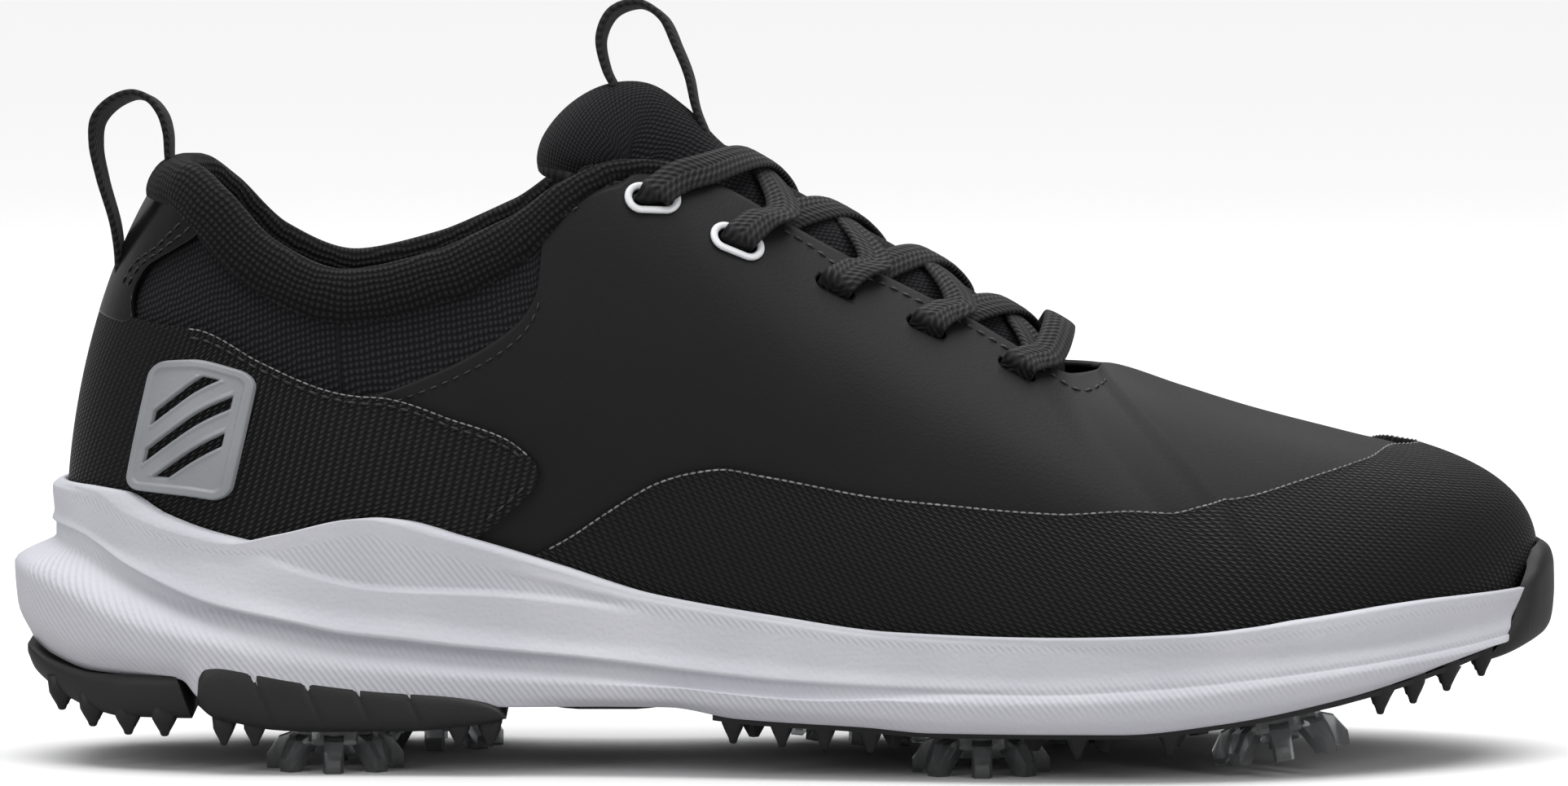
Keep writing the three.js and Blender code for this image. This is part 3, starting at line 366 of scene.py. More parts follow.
def sweep(name, path, wide, section, material, ride="shoe", replaces=(), closed=False):
    """A section carried along a path. wide is the direction of the section's first axis at each point,
    made square to the path; section is (points, 2) or one such list for each path point."""
    path, wide = np.asarray(path, float), np.asarray(wide, float)
    if closed:
        tangent = unit(np.roll(path, -1, axis=0) - np.roll(path, 1, axis=0))
    else:
        tangent = unit(np.gradient(path, axis=0))
    wide = unit(wide - (wide * tangent).sum(-1, keepdims=True) * tangent)
    tall = np.cross(wide, tangent)
    section = np.broadcast_to(np.asarray(section, float), (len(path),) + np.shape(section)[-2:])
    points = path[:, None] + wide[:, None] * section[..., :1] + tall[:, None] * section[..., 1:]
    count = points.shape[1]
    faces = grid_faces(len(path), count, close_columns=True)
    if closed:
        last, j = (len(path) - 1) * count, np.arange(count)
        faces += np.stack([last + j, last + (j + 1) % count, (j + 1) % count, j], axis=-1).tolist()
    else:
        faces += [list(range(count))[::-1], list(range((len(path) - 1) * count, len(path) * count))]
    along = np.concatenate([[0], np.cumsum(np.linalg.norm(np.diff(path, axis=0), axis=1))])
    uv = np.stack(np.broadcast_arrays(along[:, None], section[..., 0]), axis=-1) / 1000
    piece = new_piece(name, points, faces, material, uv, ride=ride, replaces=replaces)
    return weld(piece, 1e-6)


def spline(points, count):
    """A smooth curve through points: Catmull-Rom pieces spaced by the root of the chord length."""
    points = np.asarray(points, float)
    ends = [2 * points[0] - points[1]], [2 * points[-1] - points[-2]]
    p = np.concatenate([ends[0], points, ends[1]])
    knots = np.concatenate([[0], np.cumsum(np.sqrt(np.linalg.norm(np.diff(p, axis=0), axis=1)))])
    t = np.linspace(knots[1], knots[-2], count)
    i = np.clip(np.searchsorted(knots, t, side="right") - 1, 1, len(points) - 1)
    k = [knots[i + d] for d in (-1, 0, 1, 2)]
    q = [p[i + d] for d in (-1, 0, 1, 2)]

    def between(a, b, ta, tb):
        """The straight mix of two points by their knots."""
        return a + (b - a) * ((t - ta) / (tb - ta))[:, None]

    first = [between(q[n], q[n + 1], k[n], k[n + 1]) for n in range(3)]
    second = [between(first[n], first[n + 1], k[n], k[n + 2]) for n in range(2)]
    return between(second[0], second[1], k[1], k[2])


def pillow_section(width, height, count=20, square=3.0):
    """A flattened oval: |x/a|^n + |y/b|^n = 1."""
    a = np.linspace(0, 2 * np.pi, count, endpoint=False)
    x = np.sign(np.cos(a)) * np.abs(np.cos(a)) ** (2 / square) * width / 2
    y = np.sign(np.sin(a)) * np.abs(np.sin(a)) ** (2 / square) * height / 2
    return np.stack([x, y], axis=-1)


def stitch_run(name, path, up, material, slot, pitch=2.6, length=1.9, radius=0.32, ride="shoe"):
    """A row of thread stitches: each one a short bead whose ends dip into the sheet."""
    path, up = np.asarray(path, float), unit(np.asarray(up, float))
    along = np.concatenate([[0], np.cumsum(np.linalg.norm(np.diff(path, axis=0), axis=1))])
    starts = np.arange(pitch / 2, along[-1] - length, pitch)
    t = np.linspace(0, 1, 5)
    where = starts[:, None] + t[None, :] * length
    centre = np.stack([np.interp(where, along, path[:, k]) for k in range(3)], axis=-1)
    face = unit(np.stack([np.interp(where, along, up[:, k]) for k in range(3)], axis=-1))
    tangent = unit(np.gradient(centre, axis=1))
    sideways = unit(np.cross(face, tangent))
    size = radius * np.sin(np.pi * np.clip(t, 0.12, 0.88)) ** 0.5
    centre = centre + face * (np.sin(np.pi * t) * radius * 0.8 - radius * 0.35)[None, :, None]
    a = np.linspace(0, 2 * np.pi, 6, endpoint=False)
    ring = sideways[:, :, None] * np.cos(a)[:, None] + face[:, :, None] * np.sin(a)[:, None]
    points = centre[:, :, None] + ring * size[None, :, None, None]
    one = grid_faces(5, 6, close_columns=True) + [list(range(6))[::-1], list(range(24, 30))]
    faces = [[k + 30 * n for k in face_row] for n in range(len(starts)) for face_row in one]
    return new_piece(name, points, faces, material, ride=ride)


# ---------------------------------------------------------------- materials
def shader(name, **constants):
    """An empty material, with constants on its shader."""
    material = bpy.data.materials.new(name)
    material.use_nodes = True
    principled = material.node_tree.nodes["Principled BSDF"]
    for socket, value in constants.items():
        principled.inputs[socket.replace("_", " ")].default_value = value
    return material, principled


def node(tree, kind, inputs=None, **settings):
    """A shader node with its inputs linked or set."""
    made = tree.nodes.new(kind)
    for key, value in settings.items():
        setattr(made, key, value)
    for key, value in (inputs or {}).items():
        if isinstance(value, bpy.types.NodeSocket):
            tree.links.new(value, made.inputs[key])
        else:
            made.inputs[key].default_value = value
    return made


def math_node(tree, operation, a, b=0.0, clamp=False):
    """The output of one arithmetic step."""
    made = node(tree, "ShaderNodeMath", {0: a, 1: b}, operation=operation)
    made.use_clamp = clamp
    return made.outputs[0]


def times(tree, a, b, clamp=False):
    """The output of a multiplication."""
    return math_node(tree, "MULTIPLY", a, b, clamp)


def plus(tree, a, b):
    """The output of an addition."""
    return math_node(tree, "ADD", a, b)


def effect(name, inputs, outputs):
    """An empty node group with named inputs and outputs, and its two end nodes."""
    tree = bpy.data.node_groups.new(name, "ShaderNodeTree")
    for label, kind, value in inputs:
        socket = tree.interface.new_socket(label, in_out="INPUT", socket_type=kind)
        if value is not None:
            socket.default_value = value
    for label, kind in outputs:
        tree.interface.new_socket(label, in_out="OUTPUT", socket_type=kind)
    return tree, node(tree, "NodeGroupInput"), node(tree, "NodeGroupOutput")


FLOAT, VECTOR = "NodeSocketFloat", "NodeSocketVector"


def make_grain_effect():
    """Leather or moulding grain: cell walls plus fine noise, as a height and a mottle mask."""
    tree, start, end = effect("surface grain", [("Place", VECTOR, None), ("Cells", FLOAT, 900.0),
                                                ("Mottle", FLOAT, 60.0)],
                              [("Height", FLOAT), ("Mottle", FLOAT)])
    cells = node(tree, "ShaderNodeTexVoronoi",
                 {"Vector": start.outputs["Place"], "Scale": start.outputs["Cells"]},
                 feature="SMOOTH_F1")
    fine = node(tree, "ShaderNodeTexNoise",
                {"Vector": start.outputs["Place"], "Scale": start.outputs["Cells"], "Detail": 4.0})
    broad = node(tree, "ShaderNodeTexNoise",
                 {"Vector": start.outputs["Place"], "Scale": start.outputs["Mottle"], "Detail": 3.0})
    height = plus(tree, cells.outputs["Distance"], times(tree, fine.outputs["Fac"], 0.6))
    tree.links.new(height, end.inputs["Height"])
    tree.links.new(broad.outputs["Fac"], end.inputs["Mottle"])
    return tree


def make_weave_effect():
    """Slanted columns of short raised dashes, as a pressed film shows: two crossed waves, and every second
    column moved by half a dash."""
    tree, start, end = effect("pressed weave", [("Place", VECTOR, None), ("Pitch", FLOAT, 800.0)],
                              [("Height", FLOAT)])
    part = node(tree, "ShaderNodeSeparateXYZ", {0: start.outputs["Place"]})
    x = times(tree, part.outputs[0], start.outputs["Pitch"])
    y = times(tree, part.outputs[1], start.outputs["Pitch"])
    lean = plus(tree, x, times(tree, y, 0.35))
    column = math_node(tree, "FLOOR", lean)
    shift = times(tree, math_node(tree, "MODULO", column, 2.0), 0.5)
    across = math_node(tree, "FRACT", lean)
    rows = times(tree, plus(tree, y, times(tree, across, 0.5)), 1.5)
    up = math_node(tree, "FRACT", plus(tree, rows, shift))
    bump_x = math_node(tree, "SINE", times(tree, across, math.pi))
    bump_y = math_node(tree, "SINE", times(tree, up, math.pi))
    height = times(tree, math_node(tree, "POWER", bump_x, 0.7), math_node(tree, "POWER", bump_y, 0.5))
    tree.links.new(height, end.inputs["Height"])
    return tree


def make_knit_effect():
    """Knitted ribs: slanted columns of small loops with a wavy line, as a height and a thread mask."""
    tree, start, end = effect("knitted ribs", [("Place", VECTOR, None), ("Ribs", FLOAT, 700.0),
                                               ("Lean", FLOAT, 0.4), ("Loops", FLOAT, 900.0)],
                              [("Height", FLOAT), ("Thread", FLOAT)])
    part = node(tree, "ShaderNodeSeparateXYZ", {0: start.outputs["Place"]})
    wobble = node(tree, "ShaderNodeTexNoise",
                  {"Vector": start.outputs["Place"], "Scale": 140.0, "Detail": 2.0})
    x = plus(tree, part.outputs[1], times(tree, part.outputs[0], start.outputs["Lean"]))
    x = plus(tree, x, times(tree, wobble.outputs["Fac"], 0.002))
    rib = math_node(tree, "SINE", times(tree, times(tree, x, start.outputs["Ribs"]), 2 * math.pi))
    turns = times(tree, part.outputs[0], start.outputs["Loops"])
    loop = math_node(tree, "SINE", times(tree, turns, 2 * math.pi))
    fuzz = node(tree, "ShaderNodeTexNoise",
                {"Vector": start.outputs["Place"], "Scale": 2600.0, "Detail": 2.0})
    ribs = plus(tree, times(tree, rib, 0.5), 0.5)
    loops = plus(tree, times(tree, loop, 0.5), 0.5)
    height = plus(tree, ribs, times(tree, loops, 0.45))
    height = plus(tree, height, times(tree, fuzz.outputs["Fac"], 0.35))
    tree.links.new(height, end.inputs["Height"])
    tree.links.new(times(tree, ribs, loops), end.inputs["Thread"])
    return tree


def make_tape_effect():
    """Woven tape: chevron rows of floats that mirror at the tape's middle, as a height and a mask."""
    tree, start, end = effect("woven tape", [("Place", VECTOR, None), ("Rows", FLOAT, 900.0),
                                             ("Strands", FLOAT, 900.0)],
                              [("Height", FLOAT), ("Thread", FLOAT)])
    part = node(tree, "ShaderNodeSeparateXYZ", {0: start.outputs["Place"]})
    across = math_node(tree, "ABSOLUTE", part.outputs[1])
    row = times(tree, plus(tree, part.outputs[0], across), start.outputs["Rows"])
    strand = times(tree, part.outputs[1], start.outputs["Strands"])
    a = math_node(tree, "SINE", times(tree, row, 2 * math.pi))
    b = math_node(tree, "SINE", times(tree, strand, 2 * math.pi))
    height = plus(tree, times(tree, a, 0.35), times(tree, b, 0.25))
    height = plus(tree, height, 0.6)
    tree.links.new(height, end.inputs["Height"])
    tree.links.new(times(tree, height, 0.8, clamp=True), end.inputs["Thread"])
    return tree


GRAIN, WEAVE, KNIT, TAPE = make_grain_effect(), make_weave_effect(), make_knit_effect(), make_tape_effect()


def place_output(tree, by_cut):
    """Where on the piece a point is: its own cloth coordinates, or the object's."""
    kind = node(tree, "ShaderNodeUVMap", uv_map="cut") if by_cut else node(tree, "ShaderNodeTexCoord")
    return kind.outputs["UV" if by_cut else "Object"]


def finish(tree, principled, height, distance, strength=1.0):
    """Links a height to the shader's normal through a bump."""
    bump = node(tree, "ShaderNodeBump", {"Height": height, "Distance": distance, "Strength": strength})
    tree.links.new(bump.outputs["Normal"], principled.inputs["Normal"])


def ramp(tree, factor, dark, light, low=0.0, high=1.0, socket=None, principled=None):
    """Blends two values or colours by a mask, and feeds the result to a socket."""
    span = node(tree, "ShaderNodeMapRange", {"Value": factor, "From Min": low, "From Max": high})
    if isinstance(dark, tuple):
        blend = tree.nodes.new("ShaderNodeMix")
        blend.data_type = "RGBA"
        tree.links.new(span.outputs[0], blend.inputs[0])
        blend.inputs[6].default_value, blend.inputs[7].default_value = dark + (1,), light + (1,)
        out = blend.outputs[2]
    else:
        span.inputs["To Min"].default_value, span.inputs["To Max"].default_value = dark, light
        out = span.outputs[0]
    tree.links.new(out, principled.inputs[socket])
    return out


def grained(name, dark, light, rough, cells, mottle, depth, by_cut=False, **constants):
    """A moulded or coated face: fine cells for the bump, slow mottling for colour and roughness."""
    material, principled = shader(name, **constants)
    tree = material.node_tree
    grain = node(tree, "ShaderNodeGroup", node_tree=GRAIN)
    tree.links.new(place_output(tree, by_cut), grain.inputs["Place"])
    grain.inputs["Cells"].default_value, grain.inputs["Mottle"].default_value = cells, mottle
    ramp(tree, grain.outputs["Mottle"], dark, light, 0.3, 0.7, "Base Color", principled)
    ramp(tree, grain.outputs["Mottle"], rough[0], rough[1], 0.3, 0.7, "Roughness", principled)
    finish(tree, principled, grain.outputs["Height"], depth)
    return material


def pressed_film(name, dark, light, pitch, depth):
    """A black film with pressed dashes that are glossier on their tops; the tops also get a paler base
    colour, a painted highlight standing in for glints.
    """
    material, principled = shader(name, Specular_IOR_Level=0.22)
    tree = material.node_tree
    weave = node(tree, "ShaderNodeGroup", node_tree=WEAVE)
    tree.links.new(place_output(tree, True), weave.inputs["Place"])
    weave.inputs["Pitch"].default_value = pitch
    # Painted highlight: the base colour turns paler on the dash tops, standing in for glints.
    ramp(tree, weave.outputs["Height"], dark, light, 0.72, 1.0, "Base Color", principled)
    ramp(tree, weave.outputs["Height"], 0.55, 0.22, 0.5, 1.0, "Roughness", principled)
    finish(tree, principled, weave.outputs["Height"], depth)
    return material


def knitted(name, dark, light, ribs, lean, loops, depth, rough=0.85, by_cut=True):
    """A knit: thread mask for the colour, ribs and loops for the bump."""
    material, principled = shader(name, Sheen_Weight=0.06, Sheen_Roughness=0.4, Specular_IOR_Level=0.18)
    tree = material.node_tree
    knit = node(tree, "ShaderNodeGroup", node_tree=KNIT)
    tree.links.new(place_output(tree, by_cut), knit.inputs["Place"])
    for key, value in (("Ribs", ribs), ("Lean", lean), ("Loops", loops)):
        knit.inputs[key].default_value = value
    ramp(tree, knit.outputs["Thread"], dark, light, 0.0, 0.8, "Base Color", principled)
    ramp(tree, knit.outputs["Thread"], 0.95, rough, 0.0, 1.0, "Roughness", principled)
    finish(tree, principled, knit.outputs["Height"], depth)
    return material


def taped(name, dark, light, rows, strands, depth, rough=0.6):
    """Woven tape: chevron rows for the bump, strands for the colour."""
    material, principled = shader(name, Sheen_Weight=0.05, Sheen_Roughness=0.35, Specular_IOR_Level=0.3)
    tree = material.node_tree
    tape = node(tree, "ShaderNodeGroup", node_tree=TAPE)
    tree.links.new(place_output(tree, True), tape.inputs["Place"])
    tape.inputs["Rows"].default_value, tape.inputs["Strands"].default_value = rows, strands
    ramp(tree, tape.outputs["Thread"], dark, light, 0.0, 0.9, "Base Color", principled)
    ramp(tree, tape.outputs["Thread"], 0.9, rough, 0.0, 1.0, "Roughness", principled)
    finish(tree, principled, tape.outputs["Height"], depth)
    return material


def ribbed_foam():
    """Moulded foam: a fine pebble on the whole wall, and fine slanted ribs where the wall is marked."""
    material, principled = shader("moulded foam", Specular_IOR_Level=0.4)
    tree = material.node_tree
    grain = node(tree, "ShaderNodeGroup", node_tree=GRAIN)
    place = place_output(tree, False)
    tree.links.new(place, grain.inputs["Place"])
    grain.inputs["Cells"].default_value, grain.inputs["Mottle"].default_value = 1100.0, 45.0
    cut = place_output(tree, True)
    part = node(tree, "ShaderNodeSeparateXYZ", {0: cut})
    lean = plus(tree, part.outputs[0], times(tree, part.outputs[1], 0.8))
    rib = math_node(tree, "SINE", times(tree, lean, 2 * math.pi * 720))
    mark = node(tree, "ShaderNodeAttribute", attribute_name="ribs")
    ribs = times(tree, times(tree, rib, 0.5), mark.outputs["Fac"])
    height = plus(tree, times(tree, grain.outputs["Height"], 0.6), ribs)
    ramp(tree, grain.outputs["Mottle"], (0.6, 0.6, 0.655), (0.65, 0.65, 0.7), 0.3, 0.7, "Base Color",
         principled)
    ramp(tree, grain.outputs["Mottle"], 0.5, 0.6, 0.3, 0.7, "Roughness", principled)
    finish(tree, principled, height, 0.00012)
    return material


FOAM = ribbed_foam()
SKIN = grained("matt microfibre", (0.011, 0.011, 0.0114), (0.0135, 0.0135, 0.0139), (0.5, 0.58), 1700.0,
               22.0, 0.00004,
               Specular_IOR_Level=0.16)
# The film's paler colour is a painted highlight, laid on the tops of its pressed dashes as glints.
FILM = pressed_film("pressed weave film", (0.001, 0.001, 0.0012), (0.024, 0.024, 0.0245), 640.0, 0.0003)
PATENT = grained("smooth glossy film", (0.003, 0.003, 0.0034), (0.0045, 0.0045, 0.005), (0.18, 0.26), 700.0,
                 40.0,
                 0.00003, Specular_IOR_Level=0.4)
RUBBER = grained("black moulded rubber", (0.008, 0.008, 0.009), (0.013, 0.013, 0.014), (0.5, 0.65), 1500.0,
                 60.0,
                 0.00005)
PLATE = grained("moulded plate", (0.01, 0.01, 0.011), (0.014, 0.014, 0.015), (0.3, 0.4), 1300.0, 50.0,
                0.00003)
BOARD = grained("stitched board", (0.5, 0.48, 0.42), (0.58, 0.56, 0.5), (0.85, 0.95), 1200.0, 80.0, 0.00012)
STIFF = grained("moulded stiffener", (0.5, 0.48, 0.42), (0.55, 0.53, 0.47), (0.6, 0.75), 900.0, 50.0, 0.00008)
ANKLE_KNIT = knitted("ankle knit", (0.006, 0.006, 0.007), (0.026, 0.026, 0.03), 760.0, 0.3, 900.0, 0.00016)
ROLL_KNIT = knitted("collar knit", (0.003, 0.003, 0.0035), (0.019, 0.019, 0.021), 850.0, 0.0, 900.0, 0.0002)
TONGUE_KNIT = knitted("tongue knit", (0.004, 0.004, 0.005), (0.02, 0.02, 0.023), 1000.0, 0.5, 1050.0, 0.00014)
LINING_MESH = knitted("lining mesh", (0.005, 0.005, 0.006), (0.026, 0.026, 0.028), 500.0, 0.0, 500.0, 0.00025,
                      by_cut=False)
INSOLE_CLOTH = knitted("insole cloth", (0.01, 0.01, 0.012), (0.045, 0.045, 0.05), 650.0, 0.0, 650.0, 0.0002,
                       by_cut=False)
BINDING = taped("binding tape", (0.003, 0.003, 0.004), (0.014, 0.014, 0.015), 500.0, 900.0, 0.00018)
LACE_WEAVE = taped("lace weave", (0.003, 0.003, 0.0035), (0.014, 0.014, 0.016), 620.0, 700.0, 0.00028, 0.5)
WEBBING = taped("loop webbing", (0.003, 0.003, 0.004), (0.016, 0.016, 0.018), 700.0, 620.0, 0.0002, 0.55)
THREAD = grained("dark thread", (0.008, 0.008, 0.009), (0.02, 0.02, 0.022), (0.4, 0.5), 4000.0, 400.0,
                 0.00005)
RING = grained("white moulded ring", (0.72, 0.73, 0.75), (0.8, 0.81, 0.83), (0.25, 0.35), 800.0, 90.0,
               0.00002)
BADGE = grained("silver grey moulding", (0.27, 0.28, 0.3), (0.32, 0.33, 0.35), (0.3, 0.42), 1500.0, 60.0,
                0.00003,
                Specular_IOR_Level=0.6)
SMOKE = grained("smoke grey cleat", (0.42, 0.43, 0.44), (0.55, 0.56, 0.57), (0.1, 0.22), 500.0, 60.0, 0.00004,
                Transmission_Weight=0.85, IOR=1.45)
# Stitch beads whose pale colour is a painted glint, where the overlays' cut edges catch light.
EDGE_GLINT_THREAD = grained("edge thread with painted glint", (0.1, 0.1, 0.105), (0.3, 0.3, 0.31), (0.3, 0.4), 900.0, 500.0,
                      0.00003)
SEAT = grained("cleat seat", (0.012, 0.012, 0.013), (0.02, 0.02, 0.022), (0.4, 0.5), 1000.0, 60.0, 0.00004)


# ---------------------------------------------------------------- skins of the upper
def constant(value):
    """An edge at the same height all along."""
    return lambda side, s: np.full(np.shape(s), float(value))


def both_edges(points):
    """One edge list, x and height, read on the outer and the inner side."""
    return by_side({OUTER: edge(OUTER, points), INNER: edge(INNER, points)})


REAR_EDGE = [(62, 71.5), (71.7, 73.4), (87.5, 79.7), (98.6, 86.8), (103, 93.3), (104.1, 102.1)]
GUARD_EDGE = [(86, 32), (92, 36), (98, 40), (103, 43), (110, 46.9), (120, 53.6), (126.5, 57.3), (133, 59.3),
              (139.7, 60.1), (146.5, 58.9), (160, 56.3), (186, 52.9), (203, 51.4), (222.7, 51), (236, 52.9),
              (250, 55.6), (263.4, 58.6), (270, 60.2), (275.5, 61.6)]
HEEL_EDGE = [(16.5, 89), (28.6, 86.6), (46.7, 81.5), (71.8, 73.3), (87.5, 68.9), (97, 65.6), (101.2, 62.6),
             (103, 60.6), (103.7, 58.9)]
NOSE_EDGE = [(74, 36), (80, 40), (85, 43), (92.3, 46.8), (98, 51.2), (101.6, 54.6), (103, 56.6),
             (103.7, 58.5)]
rear_edge, guard_edge, heel_edge = both_edges(REAR_EDGE), both_edges(GUARD_EDGE), both_edges(HEEL_EDGE)
nose_edge = both_edges(NOSE_EDGE)
NOSE_END = min(locate(side, 103.7, 58.7)[0] for side in (OUTER, INNER))
FABRIC_END, UPPER_START, UNDER_ROLL, ROLL_END = 0.405, 0.285, 0.94, 0.44


def skin_top(side, s):
    """The skin's upper edge."""
    under_roll = mix(UNDER_ROLL, 1, smooth(s, ROLL_END + 0.006, ROLL_END + 0.03))
    return np.where(s > FABRIC_END, under_roll, np.minimum(UNDER_ROLL, rear_edge(side, s)))


def fabric_low(side, s):
    """The ankle fabric's lower edge."""
    return np.where(s > UPPER_START + 0.01, np.minimum(0.92, rear_edge(side, s) - 0.02), 0.0)


class Hole:
    """A lace hole on one facing: its place, the facing's outward direction, and the throat's direction."""

    def __init__(self, side, x, z):
        """Finds the hole's station and height from its place in the side view."""
        self.side = side
        self.s, self.v = locate(side, x, z)
        self.point = body(side, self.s, self.v)
        self.up = normal(side, self.s, self.v)
        self.along = unit(body(side, self.s + 0.01, self.v) - body(side, self.s - 0.01, self.v))
        self.across = unit(np.cross(self.up, self.along))


HOLE_PLACES = [(125.4, 111.2), (141.7, 102.8), (160.7, 93.9), (178.4, 86), (195.9, 77.8)]
holes = {side: [Hole(side, x, z) for x, z in HOLE_PLACES] for side in (OUTER, INNER)}
SLOT_LENGTH, SLOT_WIDTH = 8.2, 3.6


def slot_loop(hole, length, width, height, count=32):
    """A long hole with round ends as a closed run of points."""
    a = (np.arange(count) + 0.5) * 2 * np.pi / count
    u = np.cos(a) * width / 2 + np.sign(np.cos(a)) * (length - width) / 2
    return (hole.point + hole.along * u[:, None] + hole.across * (np.sin(a) * width / 2)[:, None]
            + hole.up * np.asarray(height, float)[..., None])


def cut_slots(piece, places):
    """Cuts the lace holes through a skin with one joined cutter."""
    points, faces = [], []
    for k, hole in enumerate(places):
        points += [slot_loop(hole, SLOT_LENGTH, SLOT_WIDTH, -4.0),
                   slot_loop(hole, SLOT_LENGTH, SLOT_WIDTH, 3.0)]
        start = 64 * k
        faces += grid_faces(2, 32, close_columns=True, start=start)
        faces += [list(range(start, start + 32))[::-1], list(range(start + 32, start + 64))]
    mesh = bpy.data.meshes.new("slot cutter")
    mesh.from_pydata(metres(np.concatenate(points)), [], faces)
    cutter = bpy.data.objects.new("slot cutter", mesh)
    bpy.context.scene.collection.objects.link(cutter)
    weld(cutter, 1e-7)
    cut = piece.modifiers.new("slots", "BOOLEAN")
    cut.object, cut.operation, cut.solver = cutter, "DIFFERENCE", "EXACT"
    bake(piece)
    bpy.data.objects.remove(cutter)


def bake(piece):
    """Replaces a piece's mesh by what its modifiers make of it."""
    depsgraph = bpy.context.evaluated_depsgraph_get()
    mesh = bpy.data.meshes.new_from_object(piece.evaluated_get(depsgraph))
    piece.modifiers.clear()
    piece.data = mesh
    return piece


def make_skins():
    """The skin, ankle fabric, toe guard and heel overlay, with the lace holes cut."""
    u = stations((90, -0.715, -0.56), (110, -0.56, -0.345), (70, -0.345, -0.262), (60, -0.262, -0.08),
                 (24, -0.08, 0))
    u = np.concatenate([u, -u[:-1][::-1]])
    upper = panel("main_upper_skin", u, constant(0), skin_top, 70, 0.0, 1.4, True, SKIN,
                  ["main_upper"], 0.0)
    cut_slots(upper, holes[OUTER] + holes[INNER])
    u = stations((60, 0, 0.285), (70, 0.285, FABRIC_END))
    u = np.concatenate([-u[::-1], u[1:]])
    panel("ankle_knit", u, fabric_low, constant(0.955), 50, -0.35, 1.1, False, ANKLE_KNIT,
          ["ankle_fabric"])
    u = stations((60, 0, 0.12), (140, 0.12, 0.665))
    u = np.concatenate([-u[::-1], u[1:]])
    panel("toe_guard_film", u, constant(0), guard_edge, 44, 1.5, 1.15, True, FILM, ["toe_guard"],
          0.3)
    u = NOSE_END * np.sin(np.linspace(-1, 1, 241) * math.pi / 2)
    panel("heel_overlay_film", u, nose_low, heel_edge, 44, 1.5, 1.1, False, FILM,
          ["heel_overlay"], 0.3)
    make_heel_tab()


def nose_low(side, s):
    """The lower edge of the heel overlay's nose."""
    return np.where(s > 0.315, nose_edge(side, s), nose_edge(side, 0 * s + 0.315) * smooth(s, 0.2, 0.315))


TAB_EDGE = [(25.2, 87.5), (25.2, 91.5), (27.6, 96.2), (33, 100.2), (37.8, 103.6), (39.8, 106.5), (39.8, 110)]


def tab_front(side, v):
    """The station of the heel tab's front edge at height v."""
    found = {key: through(sorted([locate(key, x, z)[::-1] for x, z in TAB_EDGE])) for key in (OUTER, INNER)}
    return np.where(side < 0, found[OUTER](v), found[INNER](v))


def make_heel_tab():
    """The smooth piece up the heel's back; its front edges slope up from the overlay to the collar."""
    grid_u, t = np.meshgrid(np.linspace(-1, 1, 141), np.linspace(0, 1, 60), indexing="ij")
    side = np.where(grid_u < 0, OUTER, INNER)
    low = heel_edge(side, np.abs(grid_u) * 0.15) - 0.015
    v = mix(low, 0.955, t)
    s = np.abs(grid_u) * tab_front(side, v)
    points = lifted(side, s, v, 1.55)
    piece = new_piece("heel_tab_film", points, grid_faces(141, 60), PATENT, replaces=["heel_tab"])
    turned_out(piece, (60, 0, 90))
    solid(piece, 1.2, 0.35)
    for word, value in (("outer", OUTER), ("inner", INNER)):
        v_run = np.linspace(locate(value, *TAB_EDGE[1])[1], 0.94, 90)
        for k, inset in enumerate((0.012, 0.026)):
            s_run = tab_front(np.full(90, value), v_run) - inset
            edge_run(word, value, f"tab_stitch_{k + 1}", s_run, v_run, 1.6, slot="patent", radius=0.28)


def edge_run(word, side, kind, s, v, height, material=None, **settings):
    """A stitch row along the body surface through the given stations and heights."""
    side = np.full(len(s), side)
    stitch_run(f"{kind}_{word}", lifted(side, s, v, height), normal(side, s, v), material or THREAD,
               **settings)


def edge_stitches():
    """Stitch rows set in from the edges of the overlays and round the throat, and bead rows on the very edges
    of the toe guard and heel overlay: stitches whose pale colour is a painted glint of the cut edge.
    """
    for word, side in (("outer", OUTER), ("inner", INNER)):
        s = np.linspace(0.17, NOSE_END - 0.006, 200)
        edge_run(word, side, "heel_stitch", s, heel_edge(np.full(200, side), s) - 0.022, 1.52, slot="overlay")
        s = np.linspace(0.36, NOSE_END - 0.006, 40)
        edge_run(word, side, "nose_stitch", s, nose_edge(np.full(40, side), s) + 0.026, 1.52, slot="overlay")
        # Pale beads on the toe guard's very edge: stitching, with a painted glint of the cut edge as their
        # colour.
        s = np.linspace(0.39, 0.99, 300)
        edge_run(word, side, "guard_edge", s, guard_edge(np.full(300, side), s) - 0.003, 1.5, EDGE_GLINT_THREAD,
                 slot="overlay", pitch=1.5, length=1.2, radius=0.2)
        # Pale beads on the heel overlay's very edge: stitching, with a painted glint of the cut edge as their
        # colour.
        s = np.linspace(0.17, NOSE_END - 0.002, 160)
        edge_run(word, side, "heel_edge", s, heel_edge(np.full(160, side), s) - 0.003, 1.5, EDGE_GLINT_THREAD,
                 slot="overlay", pitch=1.5, length=1.2, radius=0.17)
        s = np.linspace(0.548, 0.728, 200)
        notch = 0.03 * np.exp(-((s - 0.585) / 0.012) ** 2)
        edge_run(word, side, "throat_stitch", s, 1 - 0.04 - notch - 0.05 * smooth(s, 0.69, 0.715), 0.02,
                 slot="skin", pitch=2.7, length=2.0)
        s = np.linspace(0.3, FABRIC_END - 0.004, 80)
        edge_run(word, side, "rear_stitch", s, rear_edge(np.full(80, side), s) - 0.035, 0.05, slot="skin",
                 pitch=2.4, length=1.7, radius=0.26)


